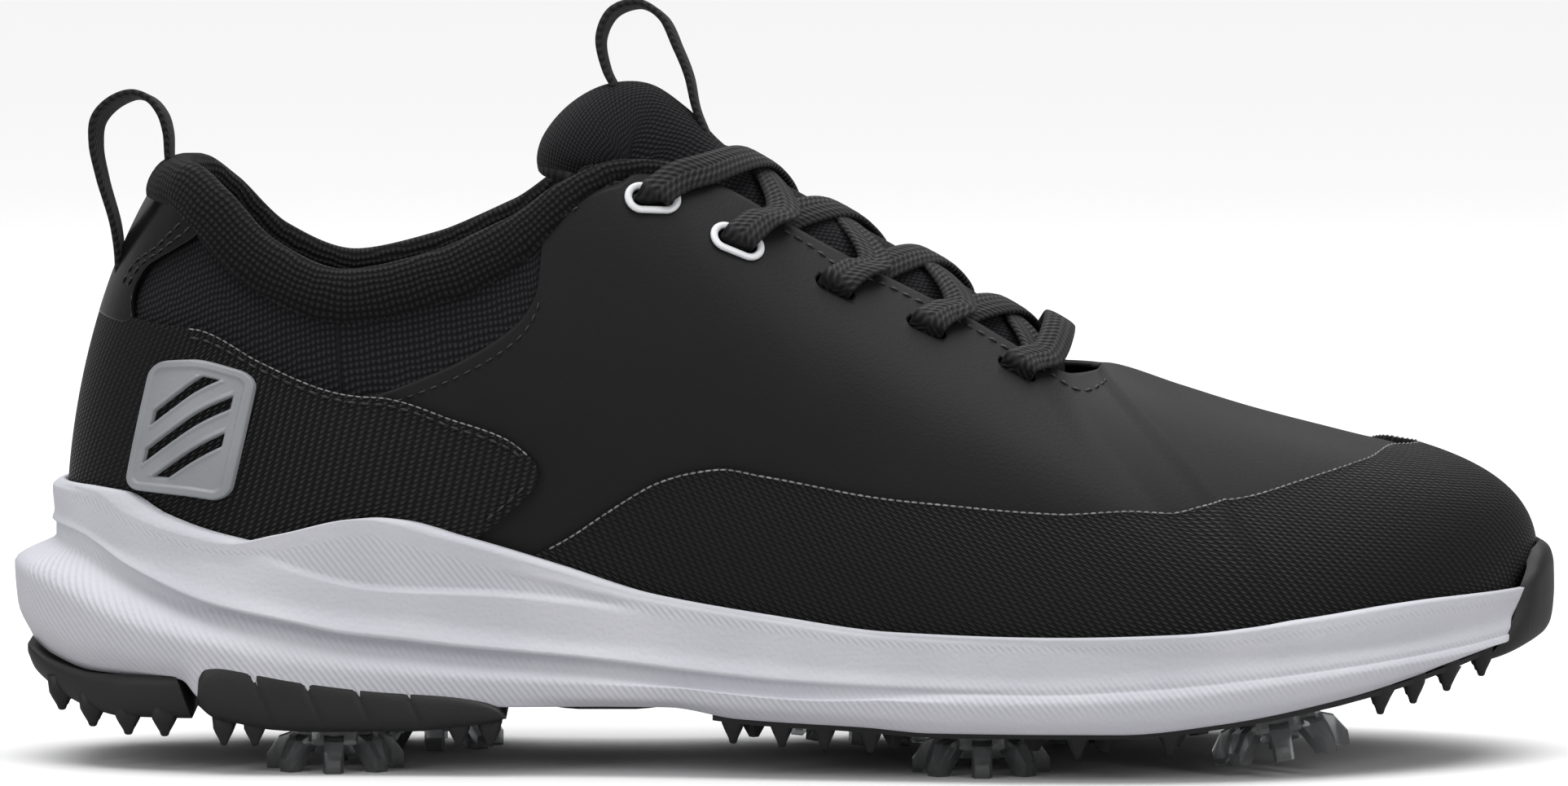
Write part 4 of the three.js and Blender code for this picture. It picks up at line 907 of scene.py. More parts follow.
def badge_grid(side, rows, columns):
    """The badge's leaning rectangle on the heel: its own two coordinates, and the surface place of each."""
    a, b = np.meshgrid(np.linspace(-1, 1, rows), np.linspace(-1, 1, columns), indexing="ij")
    corners = [locate(side, x, z) for x, z in ((23.5, 53.5), (45, 51.5), (29, 79.5), (51, 78))]
    (s0, v0), (s1, v1), (s2, v2), (s3, v3) = corners
    p, q = (a + 1) / 2, (b + 1) / 2
    s = (s0 * (1 - p) + s1 * p) * (1 - q) + (s2 * (1 - p) + s3 * p) * q
    v = (v0 * (1 - p) + v1 * p) * (1 - q) + (v2 * (1 - p) + v3 * p) * q
    return a, b, s, v


def make_badges():
    """A raised leaning plate with round corners, a rim, and three slanted slots through it."""
    for word, side in (("outer", OUTER), ("inner", INNER)):
        a, b, s, v = badge_grid(side, 120, 150)
        across, up = a * 10.5, b * 13.5
        edge_far = np.hypot(np.maximum(np.abs(across) - 6.5, 0), np.maximum(np.abs(up) - 9.5, 0)) - 3.2
        plate = 1 - smooth(edge_far, -0.35, 0.1)
        rim = smooth(edge_far, -1.9, -1.5) * plate
        slant = (up - across * 0.9) / 1.35
        band = np.minimum.reduce([np.abs(slant - k) for k in (-5.4, 0, 5.4)]) - 1.05
        slot_room = 1 - smooth(edge_far, -3.3, -2.9)
        slots = (1 - smooth(band, -0.25, 0.1)) * slot_room
        lip = (1 - smooth(band, 0.5, 0.75)) * slot_room * (1 - slots)
        lift = 1.05 + 1.45 * plate * (1 - slots) + 0.35 * rim + 0.25 * lip
        side_grid = np.full(s.shape, side)
        points = body(side_grid, s, v) + normal(side_grid, s, v) * lift[..., None]
        piece = new_piece(f"heel_badge_plate_{word}", points, grid_faces(120, 150), BADGE,
                          replaces=[f"heel_badge_{word}"])
        turned_out(piece, (60, 0, 66))


# ---------------------------------------------------------------- midsole
# Lines along the foam's wall, as heights at lengths x, from the rim down.
crease_line = through([(0, 53), (20, 49.4), (34, 45.4), (44, 44.4), (46, 44.2), (54.6, 41.2), (62.5, 38.8),
                       (70, 37.2),
                       (78, 36.6), (94, 36.2), (110, 34.6), (119, 33), (130, 31), (150, 28.6), (172, 26.4),
                       (203, 25.8), (229, 26.3), (254, 28.7), (280, 31.2), (302, 32)])
band_line = through([(0, 48.6), (9, 47.4), (23, 41.8), (39, 36.9), (46, 35.2), (66, 32), (78, 30.8),
                     (110, 26.9),
                     (142.6, 23.6), (166, 21.6), (197, 20.8), (219, 22), (246.5, 24), (266.5, 25.3),
                     (282.7, 27),
                     (302, 29.5)])
shelf_line = through([(0, 47), (9, 45.6), (23, 39.4), (39, 33.5), (55, 30.2), (66, 27.9), (78, 26.6),
                      (88, 25.5),
                      (111, 23.6), (135, 20.9), (150, 19.6), (174, 18.6), (200, 18.3), (219, 19.2),
                      (246, 21.4),
                      (266, 23.1), (283, 24.9), (302, 27.5)])
crest_line = through([(0, 38.5), (11.5, 34), (23, 29.2), (39, 25.2), (55, 21.8), (78, 19.6), (88, 19.1),
                      (111, 18.1),
                      (143, 17.4), (166, 16.2), (192, 15.2), (219, 16), (246.5, 18.7), (266.4, 20.9),
                      (282.6, 22.7),
                      (302, 25.6)])
rim_inset = through([(0, 7.6), (8, 7.0), (20, 5.4), (40, 4.0), (60, 2.8), (100, 2.0), (140, 1.7), (302, 1.5)])
band_inset = through([(0, 7.9), (9, 7.0), (23, 4.9), (39, 3.0), (60, 1.7), (110, 1.4), (142, 1.5),
                      (302, 1.8)])
shelf_inset = through([(0, 7.5), (9, 6.3), (23, 3.9), (39, 1.7), (60, 0.2), (110, 0.1), (150, 0.5),
                       (200, 1.1),
                       (302, 1.0)])
groove_depth = through([(0, 1.8), (15, 2.8), (40, 3.4), (80, 3.2), (111, 2.5), (142, 1.5), (172, 0.7),
                        (195, 0)])
base_inset = through([(0, 3.6), (15, 4.2), (34, 3), (38, 1), (96, 1), (118, 3.4), (140, 2.8), (200, 2.0),
                      (302, 3)])
ROWS_BETWEEN = [2, 2, 2, 3, 2, 6, 4, 4, 5, 6, 6, 5]


def wall_knots(x):
    """Heights, insets and rib marks of the wall's 13 lines at lengths x, from the rim to the underside:
    rim, its border, the wing's hollow field, the upper band, the shelf, the groove, the crest, the base."""
    wing = smooth(x, 44, 56) * (1 - smooth(x, 98, 126))
    rim, base = bite_line(np.maximum(x, 8)), sole_under(x)
    crease, band, shelf, crest = crease_line(x), band_line(x), shelf_line(x), crest_line(x)
    deep, fore = groove_depth(x), smooth(x, 150, 190)
    border = rim - mix(1.3, 3.1, wing)
    heights = [rim, rim - 0.8, border, border - 0.7, crease + 0.45, crease - 0.8, band, shelf, shelf - 0.9,
               mix(shelf - 3.4, mix(shelf, crest, 0.55), fore), crest, mix(crest, base, 0.55), base]
    kept = [heights[0]]
    for height in heights[1:]:
        kept.append(np.minimum(height, kept[-1] - 0.2))
    a, b, p = rim_inset(x), band_inset(x), shelf_inset(x)
    insets = [a + 1.1, a + 0.15, a, a + 1.3 * wing, a + 1.9 * wing, a - 0.9 * wing, b, p, p + deep,
              mix(p + 0.55 * deep, 0.6, fore), 0.1 + 0 * x, 0.7 - 0.3 * smooth(x, 30, 60) + 0.2 * fore,
              base_inset(x)]
    marks = [0, 0, 0, 0.9, 0.9, 0, 0, 0.6 * fore, 0.7, 0.8, 0.9, 0.9 - 0.8 * fore, 0.2]
    return [np.stack([np.broadcast_to(m, x.shape) for m in rows], axis=-1) for rows in (kept, insets, marks)]


def between_knots(values, t):
    """Each station's values read at fractional knot numbers t, by the cubic that through() uses."""
    slope = np.diff(values, axis=1)
    product = slope[:, :-1] * slope[:, 1:]
    inner = np.where(product > 0, 2 * product / np.where(product > 0, slope[:, :-1] + slope[:, 1:], 1), 0)
    tangent = np.concatenate([slope[:, :1], inner, slope[:, -1:]], axis=1)
    i = np.clip(t.astype(int), 0, values.shape[1] - 2)
    k = (t - i)[None, :]
    a, b, m, n = values[:, i], values[:, i + 1], tangent[:, i], tangent[:, i + 1]
    c = 3 * (b - a) - 2 * m - n
    return a + k * (m + k * (c + k * (m + n - 2 * (b - a))))


def make_midsole():
    """Rings from heel to toe: underside, outer wall, rim, cup wall and footbed on both sides."""
    s = np.linspace(0, 1, 361)
    t = np.concatenate([k + np.arange(n) / n for k, n in enumerate(ROWS_BETWEEN)] + [[len(ROWS_BETWEEN)]])
    halves, marks, uvs = [], [], []
    for side in (OUTER, INNER):
        plan = outline_point(side, s)
        out = outward(outline_point, side, s)
        x = plan[:, 0]
        z_knots, inset_knots, mark_knots = wall_knots(x)
        z, inset = between_knots(z_knots, t), between_knots(inset_knots, t)
        marks.append(np.clip(between_knots(mark_knots, t), 0, 1) * smooth(x, 1, 5)[:, None])
        v_rim = height_on(side, s, z[:, 0])
        cup = lifted(side, s[:, None], v_rim[:, None] * np.linspace(0, 1, 8), 2.0)
        cup[:, 0, 2] = footbed(cup[:, 0, 0])
        cap_end = 1 - cap_reach(np.clip(z, 20, 41.8))
        under_cap = 1.7 * smooth(s[:, None], cap_end - 0.004, cap_end + 0.01) * smooth(z, 16, 18.5)
        wall = plan[:, None] - out[:, None] * (inset + under_cap)[..., None]
        wall[..., 2] = z
        above = np.maximum(z, footbed(x)[:, None] + 1)
        skin = lifted(side, s[:, None], height_on(side, s[:, None] + 0 * z, above), 2.0)
        room = ((wall - skin) * out[:, None]).sum(-1)
        wall = wall + out[:, None] * np.where(z > above - 1e-6, np.maximum(1.5 - room, 0), 0)[..., None]
        lip = mix(cup[:, -1], wall[:, 0], 0.5) + vec(0, 0, 0.3)
        halves.append((cup, lip, wall))
        along = np.concatenate([[0], np.cumsum(np.linalg.norm(np.diff(wall[:, 30], axis=0), axis=1))])
        uvs.append(np.stack(np.broadcast_arrays(along[:, None], z), axis=-1) / 1000)
    (cup_a, lip_a, wall_a), (cup_b, lip_b, wall_b) = halves

    def across(p, r, count):
        """Rows of points on straight lines between two rows, ends left out."""
        k = np.linspace(0, 1, count + 2)[1:-1]
        return p[:, None] * (1 - k)[None, :, None] + r[:, None] * k[None, :, None]

    rings = np.concatenate([wall_a[:, ::-1], lip_a[:, None], cup_a[:, ::-1],
                            across(cup_a[:, 0], cup_b[:, 0], 9),
                            cup_b, lip_b[:, None], wall_b, across(wall_b[:, -1], wall_a[:, -1], 12)], axis=1)
    count = len(t)
    mark = np.zeros(rings.shape[:2])
    mark[:, :count], mark[:, count + 27:2 * count + 27] = marks[0][:, ::-1], marks[1]
    uv = np.concatenate([rings[..., :1], rings[..., 2:]], axis=-1) / 1000
    uv[:, :count], uv[:, count + 27:2 * count + 27] = uvs[0][:, ::-1], uvs[1]
    piece = new_piece("midsole_foam", rings, grid_faces(*rings.shape[:2], close_columns=True), FOAM,
                      uv,
                      replaces=["midsole"])
    attribute = piece.data.attributes.new("ribs", "FLOAT", "POINT")
    attribute.data.foreach_set("value", mark.ravel())
    return weld(piece, 2e-5)


# ---------------------------------------------------------------- rubber
lip_line = through([(37.4, 14.2), (37.8, 19.4), (39.2, 21.8), (42.4, 22.6), (47, 22.1), (59.4, 19.8),
                    (72, 17.8),
                    (84.5, 16.7), (91.7, 15.4), (95.4, 13.9), (97.2, 11.8)])
side_bottom = through([(37.4, 13.6), (40.5, 11.2), (46.8, 9.8), (52, 8.9), (60, 8.5), (78, 8.6), (88, 9.6),
                       (94, 10.4),
                       (97.2, 11.3)])
rear_top = through([(3, 23.2), (8.2, 20.4), (18.1, 18.7), (27.8, 18.9), (36, 18.9)])
rear_bottom = through([(3, 21.6), (4.7, 18.2), (8.2, 15.5), (14.8, 12.1), (22.9, 10.4), (31, 10.4),
                       (36, 10.6)])


def ring_piece(name, rings, material, replaces=()):
    """A closed body through closed rings, with a cover over each end ring."""
    rows, columns = rings.shape[:2]
    faces = grid_faces(rows, columns, close_columns=True)
    faces += [list(range(columns))[::-1], list(range((rows - 1) * columns, rows * columns))]
    return weld(new_piece(name, rings, faces, material, replaces=replaces), 1e-6)


def make_side_rubber(side, word):
    """The heel's side piece: a rounded lip up the wall, notched faces, and a flat foot under the heel."""
    x = mix(37.4, 97.2, (1 - np.cos(np.linspace(0, math.pi, 150))) / 2)
    lip, low = lip_line(x), side_bottom(x)
    drop = np.linspace(0, 1, 9)
    z = mix(lip[:, None], low[:, None], drop[None, :])
    lean = x[:, None] - (lip[:, None] - z) * 0.5
    notch = sum(np.exp(-((lean - place) / 0.55) ** 2) for place in (47, 57.5, 67.5, 77.5))
    inset = np.array([1.6, 0.5, 0, -0.15, -0.15, -0.1, 0.1, 0.7,
                      2.2])[None, :] + 0.75 * notch * smooth(z, 9.5, 11) * (
        1 - smooth(z - lip[:, None], -2.4, -1.2))
    outer = vec(x[:, None], sole_centre(x)[:, None] + side * (half_sole(x)[:, None] - inset), z)
    edge_y = half_sole(x) - 4
    floor = np.maximum(low, 8.7)
    rest = [vec(x, sole_centre(x) + side * edge_y, floor), vec(x, side * 8 + 0 * x, floor),
            vec(x, side * 7 + 0 * x, floor + 0.8), vec(x, side * 7 + 0 * x, np.maximum(floor + 1, 14.6)),
            vec(x, sole_centre(x) + side * (half_sole(x) - 3), np.maximum(floor + 1, 14.6)),
            vec(x, sole_centre(x) + side * (half_sole(x) - 3), np.maximum(lip - 0.5, 11.6))]
    rings = np.concatenate([outer, np.stack(rest, axis=1)], axis=1)
    ring_piece(f"heel_rubber_{word}", rings, RUBBER, [f"outsole_heel_{word}"])


def make_rear_rubber():
    """The heel's rear piece: rings across the heel with a rounded under edge; its front face leans."""
    x = mix(3.2, 33.2, (1 - np.cos(np.linspace(0, math.pi, 60))) / 2)
    top, low = rear_top(x), rear_bottom(x)
    share = np.array([0, 0.25, 0.5, 0.75, 0.92, 1.0])
    inset = np.array([0.5, 0.1, 0.2, 0.8, 1.8, 3.4])
    half = np.maximum(half_sole(x) - 2.6, 2)[:, None] - inset * np.minimum(1, (x / 6))[:, None]
    z = mix(top[:, None], low[:, None], share[None, :])
    slant = 3.0 * share[None, :] * smooth(x, 22, 33.2)[:, None]
    left = vec(x[:, None] + slant, sole_centre(x)[:, None] - half, z)
    right = vec(x[:, None] + slant, sole_centre(x)[:, None] + half, z)
    rings = np.concatenate([left, right[:, ::-1]], axis=1)
    ring_piece("heel_rubber_rear", rings, RUBBER, ["outsole_rear"])


def make_lugs(name, places, size, depth, replaces=()):
    """Small four-sided spikes with blunt tips that point down: rounded squares that shrink downwards."""
    a = np.arange(12) * math.pi / 6 + math.pi / 4
    round_way = np.stack([np.cos(a), np.sin(a)], axis=-1)
    corner = np.sign(round_way) * np.abs(round_way) ** 0.55
    levels, widths = np.array([0.9, 0, -0.3, -0.72, -0.94, -1.0]), np.array([1.15, 1, 0.78, 0.42, 0.3, 0.16])
    ring = corner[None] * widths[:, None, None] * size / 2
    one = np.concatenate([ring, np.broadcast_to((levels * depth)[:, None, None], (6, 12, 1))], axis=-1)
    places = np.asarray(places, float)
    points = places[:, None, None] + one[None]
    part = grid_faces(6, 12, close_columns=True) + [list(range(12)), list(range(60, 72))[::-1]]
    faces = [[k + 72 * n for k in row] for n in range(len(places)) for row in part]
    piece = new_piece(name, points, faces, RUBBER, replaces=replaces)
    return weld(piece, 1e-7)


def clear_of_cleats(places, gap=15.5):
    """The places that keep a gap from every cleat."""
    return [p for p in places if all(math.hypot(p[0] - x, p[1] - y) > gap for x, y in CLEATS)]


def make_rubber():
    """Heel rubber, forefoot lugs and the row of lugs along the edge."""
    make_rear_rubber()
    make_side_rubber(OUTER, "outer")
    make_side_rubber(INNER, "inner")
    heel = [(x, float(sole_centre(x) + k * (half_sole(x) - 7)), float(rear_bottom(x)))
            for x in (10.2, 16.5, 23.6, 30.8) for k in (-1, -0.45, 0.1, 0.6, 1)]
    make_lugs("heel_lugs", heel, 5.0, 3.6)
    under = [(x, float(sole_centre(x) + k * (half_sole(x) - 5)), 8.9)
             for x in (42.5, 48.5, 88, 94) for k in (-1, -0.62, 0.62, 1)]
    make_lugs("heel_side_lugs", clear_of_cleats(under), 4.2, 3.4)
    toe = [(x, float(sole_centre(x) + k * (half_sole(x) - 8.5)), float(sole_under(x)) - 1.2)
           for x in (141, 150.4, 158.6, 167.5, 207.3, 225, 266.2, 272.8, 279.6, 286.7) for k in (-1, -0.5,
                                                                                                 0, 0.5, 1)]
    make_lugs("forefoot_lugs", clear_of_cleats(toe), 4.6, 4.2)
    make_bumper()


cap_reach = through([(20, 0.128), (25, 0.112), (30, 0.096), (34, 0.09), (38, 0.07), (41.8, 0.05)])


def make_bumper():
    """The toe cap of rubber: a thick band round the toe, rounded at its top, ends and under edge."""
    u = np.sin(np.linspace(-1, 1, 91) * math.pi / 2)
    share = np.linspace(0, 1, 36)
    side = np.where(u < 0, OUTER, INNER)
    top = 41.8 - 2.0 * np.abs(u) ** 6
    low = 23.5 - 3.5 * np.abs(u) ** 2
    z = mix(low[:, None], top[:, None], share[None, :])
    s = 1 - cap_reach(z) * np.abs(u)[:, None]
    profile = through([(0, 2.8), (0.06, 1.2), (0.16, 0.3), (0.3, -0.1), (0.5, -0.3), (0.75, -0.2),
                       (0.88, 0.3),
                       (0.95, 1.1), (1, 2.6)])
    inset = profile(share)[None, :] + 2.0 * (np.abs(u) ** 14)[:, None]
    points = outline(side[:, None] + 0 * inset, s, inset)
    points[..., 2] = z
    piece = new_piece("toe_bumper_cap", points, grid_faces(91, 36), RUBBER,
                      replaces=["toe_bumper"])
    weld(piece, 1e-5)
    turned_out(piece, (270, 5, 35))
    solid(piece, 2.8, 0.5, 3)


# ---------------------------------------------------------------- padded collar, tongue and loops
def make_collar_roll():
    """The padded top line: a tall oval carried along the collar, thinning to a piping at the throat."""
    u = np.linspace(-0.505, 0.505, 420)
    side, s = np.where(u < 0, OUTER, INNER), np.abs(u)
    v = mix(0.957, 0.985, smooth(s, 0.4, 0.47))
    path = lifted(side, s, v, -0.9)
    path[:, 2] += 0.4
    down = body(side, s, 0 * s + 0.9) - body(side, s, 0 * s + 1)
    thin = smooth(s, 0.36, 0.46)
    tall = mix(10.6, 3.6, thin)
    wide = mix(7.4, 3.2, thin)
    section = pillow_section(1, 1, 28, 2.2)[None] * np.stack([tall, wide], axis=-1)[:, None]
    piece = sweep("collar_roll_knit", path, down, section, ROLL_KNIT, replaces=["collar_roll"])
    for word, value in (("outer", OUTER), ("inner", INNER)):
        s = np.linspace(0.2, 0.43, 180)
        v = 0.905 + 0.02 * smooth(s, 0.38, 0.44)
        edge_run(word, value, "collar_stitch", s, v, 0.1, slot="knit", pitch=2.4, length=1.7, radius=0.26)


# Rows: x and z of the tongue's middle line, the half width and depth of its oval, and its half angle.
TONGUE = np.array([(207, 77, 20, 20, 66), (198, 84.2, 20, 21.5, 70), (185, 93, 20, 22.5, 74),
                   (170, 101.6, 20, 22.5, 75), (155, 110, 20, 22, 75), (145, 115.6, 20, 22, 75),
                   (138, 120.3, 19.5, 23, 77),
                   (131.5, 126.6, 19.5, 25, 80), (124.2, 131.3, 20, 25, 80), (116.5, 131.2, 20, 24, 78),
                   (109.6, 127.6, 19.6, 22, 74), (104.4, 121.6, 18.6, 19, 68), (102.0, 115.0, 17, 16, 60)])


def tongue_at(t, beta, depth):
    """A point of the tongue: t along its middle line, beta round its oval, depth in from its outer face."""
    line = spline(vec(TONGUE[:, 0], crest_centre(TONGUE[:, 0]), TONGUE[:, 1]), 1201)
    along = unit(np.gradient(line, axis=0))
    where = np.clip(t, 0, 1) * 1200

    def pick(table):
        """Reads a table of points at the fractional places along the line."""
        return np.stack([np.interp(where, np.arange(1201), table[:, k]) for k in range(3)], axis=-1)

    centre, tangent = pick(line), unit(pick(along))
    face = unit(vec(tangent[..., 2], 0, -tangent[..., 0]))
    knots = np.linspace(0, 1, len(TONGUE))
    half, deep = [np.interp(t, knots, TONGUE[:, k]) for k in (2, 3)]
    move = (deep - depth) * np.cos(beta) - deep
    return centre + face * move[..., None] + vec(0, (half - depth) * np.sin(beta), 0)


def tongue_edge(t):
    """The angle at which the tongue's oval ends, in radians."""
    return np.radians(np.interp(t, np.linspace(0, 1, len(TONGUE)), TONGUE[:, 4]))


def make_tongue():
    """A padded tongue: two faces that meet in a rounded edge, plumper down its middle in its upper half, with
    a binding tape round its edge.
    """
    t = np.linspace(0, 1, 150)
    k = np.linspace(-1, 1, 61)
    beta = tongue_edge(t)[:, None] * k[None, :]
    fade = np.sqrt(np.clip(1 - k ** 8, 0, 1))[None, :] * np.sqrt(np.clip(1 - ((t - 0.5) / 0.5) ** 24, 0,
                                                                         1))[:, None]
    plump = 1 + 0.35 * smooth(t, 0.45, 0.62)[:, None] * np.cos(k * math.pi / 2)[None, :] ** 2
    half = 2.0 * fade * plump + 0.02
    middle = 2.0 + 0 * half
    t_grid = np.broadcast_to(t[:, None], beta.shape)
    outer, inner = tongue_at(t_grid, beta, middle - half), tongue_at(t_grid, beta, middle + half)
    rings = np.concatenate([outer, inner[:, ::-1]], axis=1)
    along = np.concatenate([[0], np.cumsum(np.linalg.norm(np.diff(outer[:, 30], axis=0), axis=1))])
    round_it = np.concatenate([k, k[::-1]]) * 24
    uv = np.stack(np.broadcast_arrays(along[:, None], round_it[None, :]), axis=-1) / 1000
    faces = grid_faces(150, 122, close_columns=True) + [list(range(122))[::-1],
                                                        list(range(149 * 122, 150 * 122))]
    pad = weld(new_piece("tongue_pad", rings, faces, TONGUE_KNIT, uv, None,
                         ["tongue_body", "tongue_top"]), 1e-6)
    t_edge = np.concatenate([np.linspace(0.5, 0.985, 120), np.full(80, 0.985), np.linspace(0.985, 0.5, 120)])
    k_edge = np.concatenate([np.full(120, -1), np.linspace(-1, 1, 80), np.full(120, 1)]) * 0.985
    path = tongue_at(t_edge, tongue_edge(t_edge) * k_edge, np.full(320, 2.0))
    path = spline(path[::4], 400)
    tape = sweep("tongue_binding", path, np.gradient(np.gradient(path, axis=0), axis=0) + [0.001, 0, 0.002],
                 pillow_section(3.6, 3.6, 14, 2.2), BINDING, ride=None)
    start, end = metres(tongue_at(np.array(0.44), np.array(0.0), np.array(2.0))), metres(
        tongue_at(np.array(0.54), np.array(0.0), np.array(2.0)))
    for piece in (pad, tape):
        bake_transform(piece)


def make_loops():
    """Pull loops of woven tape: a thin flat section along an open loop."""
    loops = (("tongue_pull", 9, "tongue_upper", "tongue_loop",
              [(119.6, 126.5), (118.2, 130.6), (116.2, 134.8), (115.2, 141), (117.6, 145.9), (122.6, 147.5),
               (127.2, 144.8), (130.2, 138.8), (132.3, 133.5), (133.8, 126.8), (136.4, 120.6)]),
             ("heel_pull", 10, "shoe", "heel_loop",
              [(20.5, 92.6), (20.9, 97), (20.2, 104), (17.6, 113.5), (16.4, 120), (16.9, 124.8),
               (19.8, 128.1),
               (23.9, 129.7), (27.1, 128.7), (29.4, 126), (30.5, 122.4), (30.8, 117), (31.6, 112)]))
    for name, width, rider, node_name, line in loops:
        line = np.array(line, float)
        path = spline(vec(line[:, 0], crest_centre(line[:, 0]), line[:, 1]), 160)
        turn = np.sin(np.linspace(0, math.pi, 160)) * 0.18
        sweep(name, path, vec(turn, 1, -turn), pillow_section(width, 1.5, 20, 4), WEBBING,
              ride=rider, replaces=[node_name])


# ---------------------------------------------------------------- lace
OVER, UNDER = 2.0, -3.1
HIGH, LOW = 6.2, 4.6
# Rows: from which hole on which side, to which hole on the other, and whether each end lies on top.
LEGS = [(0, 1, OUTER, True, True, HIGH), (1, 2, INNER, False, True, LOW), (2, 3, OUTER, False, True, HIGH),
        (3, 4, INNER, False, False, LOW), (4, 4, OUTER, True, True, HIGH), (4, 3, INNER, False, False, HIGH),
        (3, 2, OUTER, True, False, LOW), (2, 1, INNER, True, False, HIGH), (1, 0, OUTER, True, True, LOW)]
THROAT_SHIFT = [9, 8, 7, 6, 5]
CREST_UP = np.array([0.5, 0, 0.866])


def station_above(x):
    """The station whose rib ends at length x on the throat's edge."""
    s = np.linspace(0.3, THROAT_END, 4000)
    return s[np.argmin(np.abs(top_x(s) - x))]


def lace_half(side, k, over):
    """One half of a lace leg: from its hole up to the throat's rim."""
    hole = holes[side][k]
    height = OVER if over else UNDER
    s = station_above(HOLE_PLACES[k][0] + THROAT_SHIFT[k])
    up = normal(side, s, 0.99)
    inner = 0.8 if over else 0.3
    start = hole.point + hole.up * height * 0.9
    middle = lifted(side, (s + hole.s) / 2, (1 + hole.v) / 2, height * 0.86)
    rim = body(side, s, 1.0) + up * height * inner
    return hole, [start, middle, rim]


def make_lace():
    """The lace: one woven tape through the holes, crossing over the tongue, leg by leg."""
    points, widths, ups = [], [], []

    def put(point, width, up):
        """Adds one point of the route, the direction of its width, and the way up."""
        points.append(point)
        widths.append(width)
        ups.append(up)

    first = holes[OUTER][0]
    put(first.point - first.up * 9 + first.across * 5, first.along, first.across)
    put(first.point - first.up * 3.5, first.along, first.across)
    for a, b, side, over_a, over_b, crown in LEGS:
        hole_a, half_a = lace_half(side, a, over_a)
        hole_b, half_b = lace_half(-side, b, over_b)
        top = (half_a[2] + half_b[2]) / 2 + CREST_UP * crown
        track = half_a + [top] + half_b[::-1]
        lift = [hole_a.up, hole_a.up, hole_a.up, CREST_UP, hole_b.up, hole_b.up, hole_b.up]
        heading = unit(half_b[2] - half_a[2])
        flat = [unit(np.cross(u, heading)) for u in lift]
        flat = [f * np.sign(f[0]) for f in flat]
        put(hole_a.point, hole_a.along, hole_a.up)
        for k, (p, f, u) in enumerate(zip(track, flat, lift)):
            blend = {0: hole_a.along, 6: hole_b.along}.get(k, f)
            put(p, blend, u)
        put(hole_b.point, hole_b.along, hole_b.up)
    last = holes[INNER][0]
    put(last.point - last.up * 3.5, last.along, last.across)
    put(last.point - last.up * 9 + last.across * -5, last.along, last.across)
    kept = [0] + [k for k in range(1, len(points)) if np.linalg.norm(points[k] - points[k - 1]) > 0.2]
    points, widths = np.array(points)[kept], np.array(widths)[kept]
    count = 1100
    path = spline(points, count)
    lengths = np.concatenate([[0], np.cumsum(np.sqrt(np.linalg.norm(np.diff(points, axis=0), axis=1)))])
    where = np.linspace(0, lengths[-1], count)
    wide = np.stack([np.interp(where, lengths, widths[:, k]) for k in range(3)], axis=-1)
    piece = sweep("lace_tape", path, wide, pillow_section(6.9, 1.65, 16, 2.6), LACE_WEAVE,
                  replaces=["lace"])
    return piece


def make_rings():
    """White rims round the top two holes of each side: a rounded bar carried round the slot."""
    for side, word in ((OUTER, "outer"), (INNER, "inner")):
        for k in (0, 1):
            hole = holes[side][k]
            loop = slot_loop(hole, SLOT_LENGTH + 1.5, SLOT_WIDTH + 1.5, 0.35, 64)
            wide = unit(loop - hole.point)
            sweep(f"lace_rim_{word}_{k + 1}", loop, wide, pillow_section(1.5, 0.95, 12, 2.6), RING,
                  replaces=[f"lace_ring_{word}_{k + 1}"], closed=True)


# ---------------------------------------------------------------- stage
FLOOR_HALF_SIZE, SURROUND_LIGHT = 14.0, 0.26
FLOOR_LIT, FLOOR_SEEN = (0.45, 0.45, 0.45), (0.99, 0.99, 0.99)


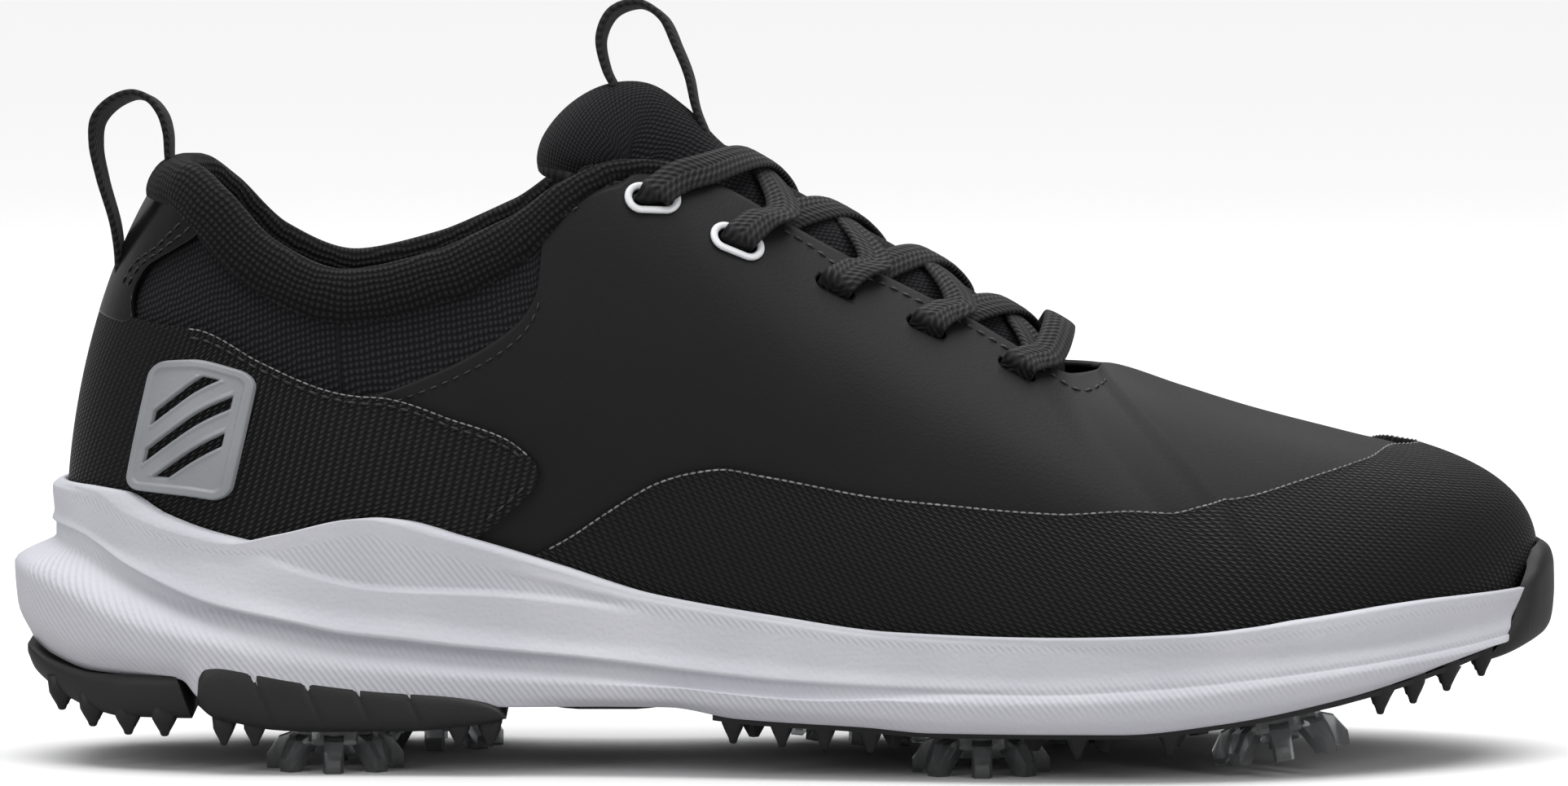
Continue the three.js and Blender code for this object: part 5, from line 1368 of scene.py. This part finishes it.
def make_stage():
    """A pale floor, a white surround, four softboxes and a wide light from above."""
    mesh = bpy.data.meshes.new("floor")
    size = FLOOR_HALF_SIZE
    mesh.from_pydata([(-size, -size, 0), (size, -size, 0), (size, size, 0), (-size, size, 0)], [],
                     [(0, 1, 2, 3)])
    material, principled = shader("pale floor", Roughness=0.9)
    tree = material.node_tree
    seen = node(tree, "ShaderNodeLightPath")
    ramp(tree, seen.outputs["Is Camera Ray"], FLOOR_LIT, FLOOR_SEEN, 0.0, 1.0, "Base Color",
         principled)
    mesh.materials.append(material)
    floor = bpy.data.objects.new("floor", mesh)
    bpy.context.scene.collection.objects.link(floor)
    world = bpy.data.worlds.new("studio")
    bpy.context.scene.world = world
    world.use_nodes = True
    world.node_tree.nodes["Background"].inputs[0].default_value = (1, 1, 1, 1)
    tree = world.node_tree
    seen = node(tree, "ShaderNodeLightPath")
    tree.links.new(math_node(tree, "MAXIMUM", seen.outputs["Is Camera Ray"], SURROUND_LIGHT),
                   tree.nodes["Background"].inputs[1])
    bpy.context.scene.view_settings.view_transform = "Standard"

    def light(name, place, target, size_x, size_y, power):
        """A rectangular softbox at place, turned to its target."""
        lamp = bpy.data.lights.new(name, "AREA")
        lamp.shape, lamp.size, lamp.size_y, lamp.energy = "RECTANGLE", size_x, size_y, power
        lamp_object = bpy.data.objects.new(name, lamp)
        bpy.context.scene.collection.objects.link(lamp_object)
        place, target = Vector(place), Vector(target)
        lamp_object.location = place
        lamp_object.rotation_euler = (target - place).to_track_quat("-Z", "Y").to_euler()

    light("softbox overhead", (0.0, -0.3, 1.1), (0, 0, 0.03), 1.5, 0.5, 6)
    light("softbox front left", (-0.95, -1.0, 0.75), (-0.05, 0, 0.06), 0.4, 0.9, 4.5)
    light("softbox front right", (1.0, -0.95, 0.65), (0.08, 0, 0.05), 0.4, 0.9, 4)
    light("softbox behind", (0.0, 1.2, 0.9), (0, 0, 0.06), 1.4, 0.4, 1.8)
    sky = bpy.data.lights.new("wide overhead", "SUN")
    sky.energy, sky.angle = 2.2, math.radians(70)
    sky_object = bpy.data.objects.new("wide overhead", sky)
    bpy.context.scene.collection.objects.link(sky_object)
    sky_object.rotation_euler = (math.radians(-14), 0, 0)


def make_camera():
    """Level side view, slightly from above, from 2.4 m."""
    elevation, distance, field = math.radians(4.5), 2400.0, 307.0
    target = np.array([150.8, 0.0, 71.2])
    place = target + distance * np.array([0, -math.cos(elevation), math.sin(elevation)])
    lens = bpy.data.cameras.new("camera")
    lens.sensor_width = 36.0
    lens.lens = 36.0 * distance / field
    camera = bpy.data.objects.new("camera", lens)
    bpy.context.scene.collection.objects.link(camera)
    camera.location = metres(place)
    camera.rotation_euler = (math.pi / 2 - elevation, 0, 0)
    bpy.context.scene.camera = camera


def finish_cad_nodes():
    """Gives the CAD nodes that stay as they are their own materials."""
    finishes = {"insole": INSOLE_CLOTH, "lining": LINING_MESH, "strobel_board": BOARD, "heel_counter": STIFF,
                "toe_puff": STIFF, "outsole_forefoot": RUBBER, "shank_plate": PLATE}
    finishes.update({f"cleat_{k}": SMOKE for k in range(1, 8)})
    finishes.update({f"cleat_seat_{k}": SEAT for k in range(1, 8)})
    for name, material in finishes.items():
        for place in frame["nodes"][name].material_slots:
            place.material = material


make_camera()
make_stage()
make_skins()
edge_stitches()
make_badges()
make_midsole()
make_rubber()
make_collar_roll()
make_tongue()
make_loops()
make_lace()
make_rings()
finish_cad_nodes()
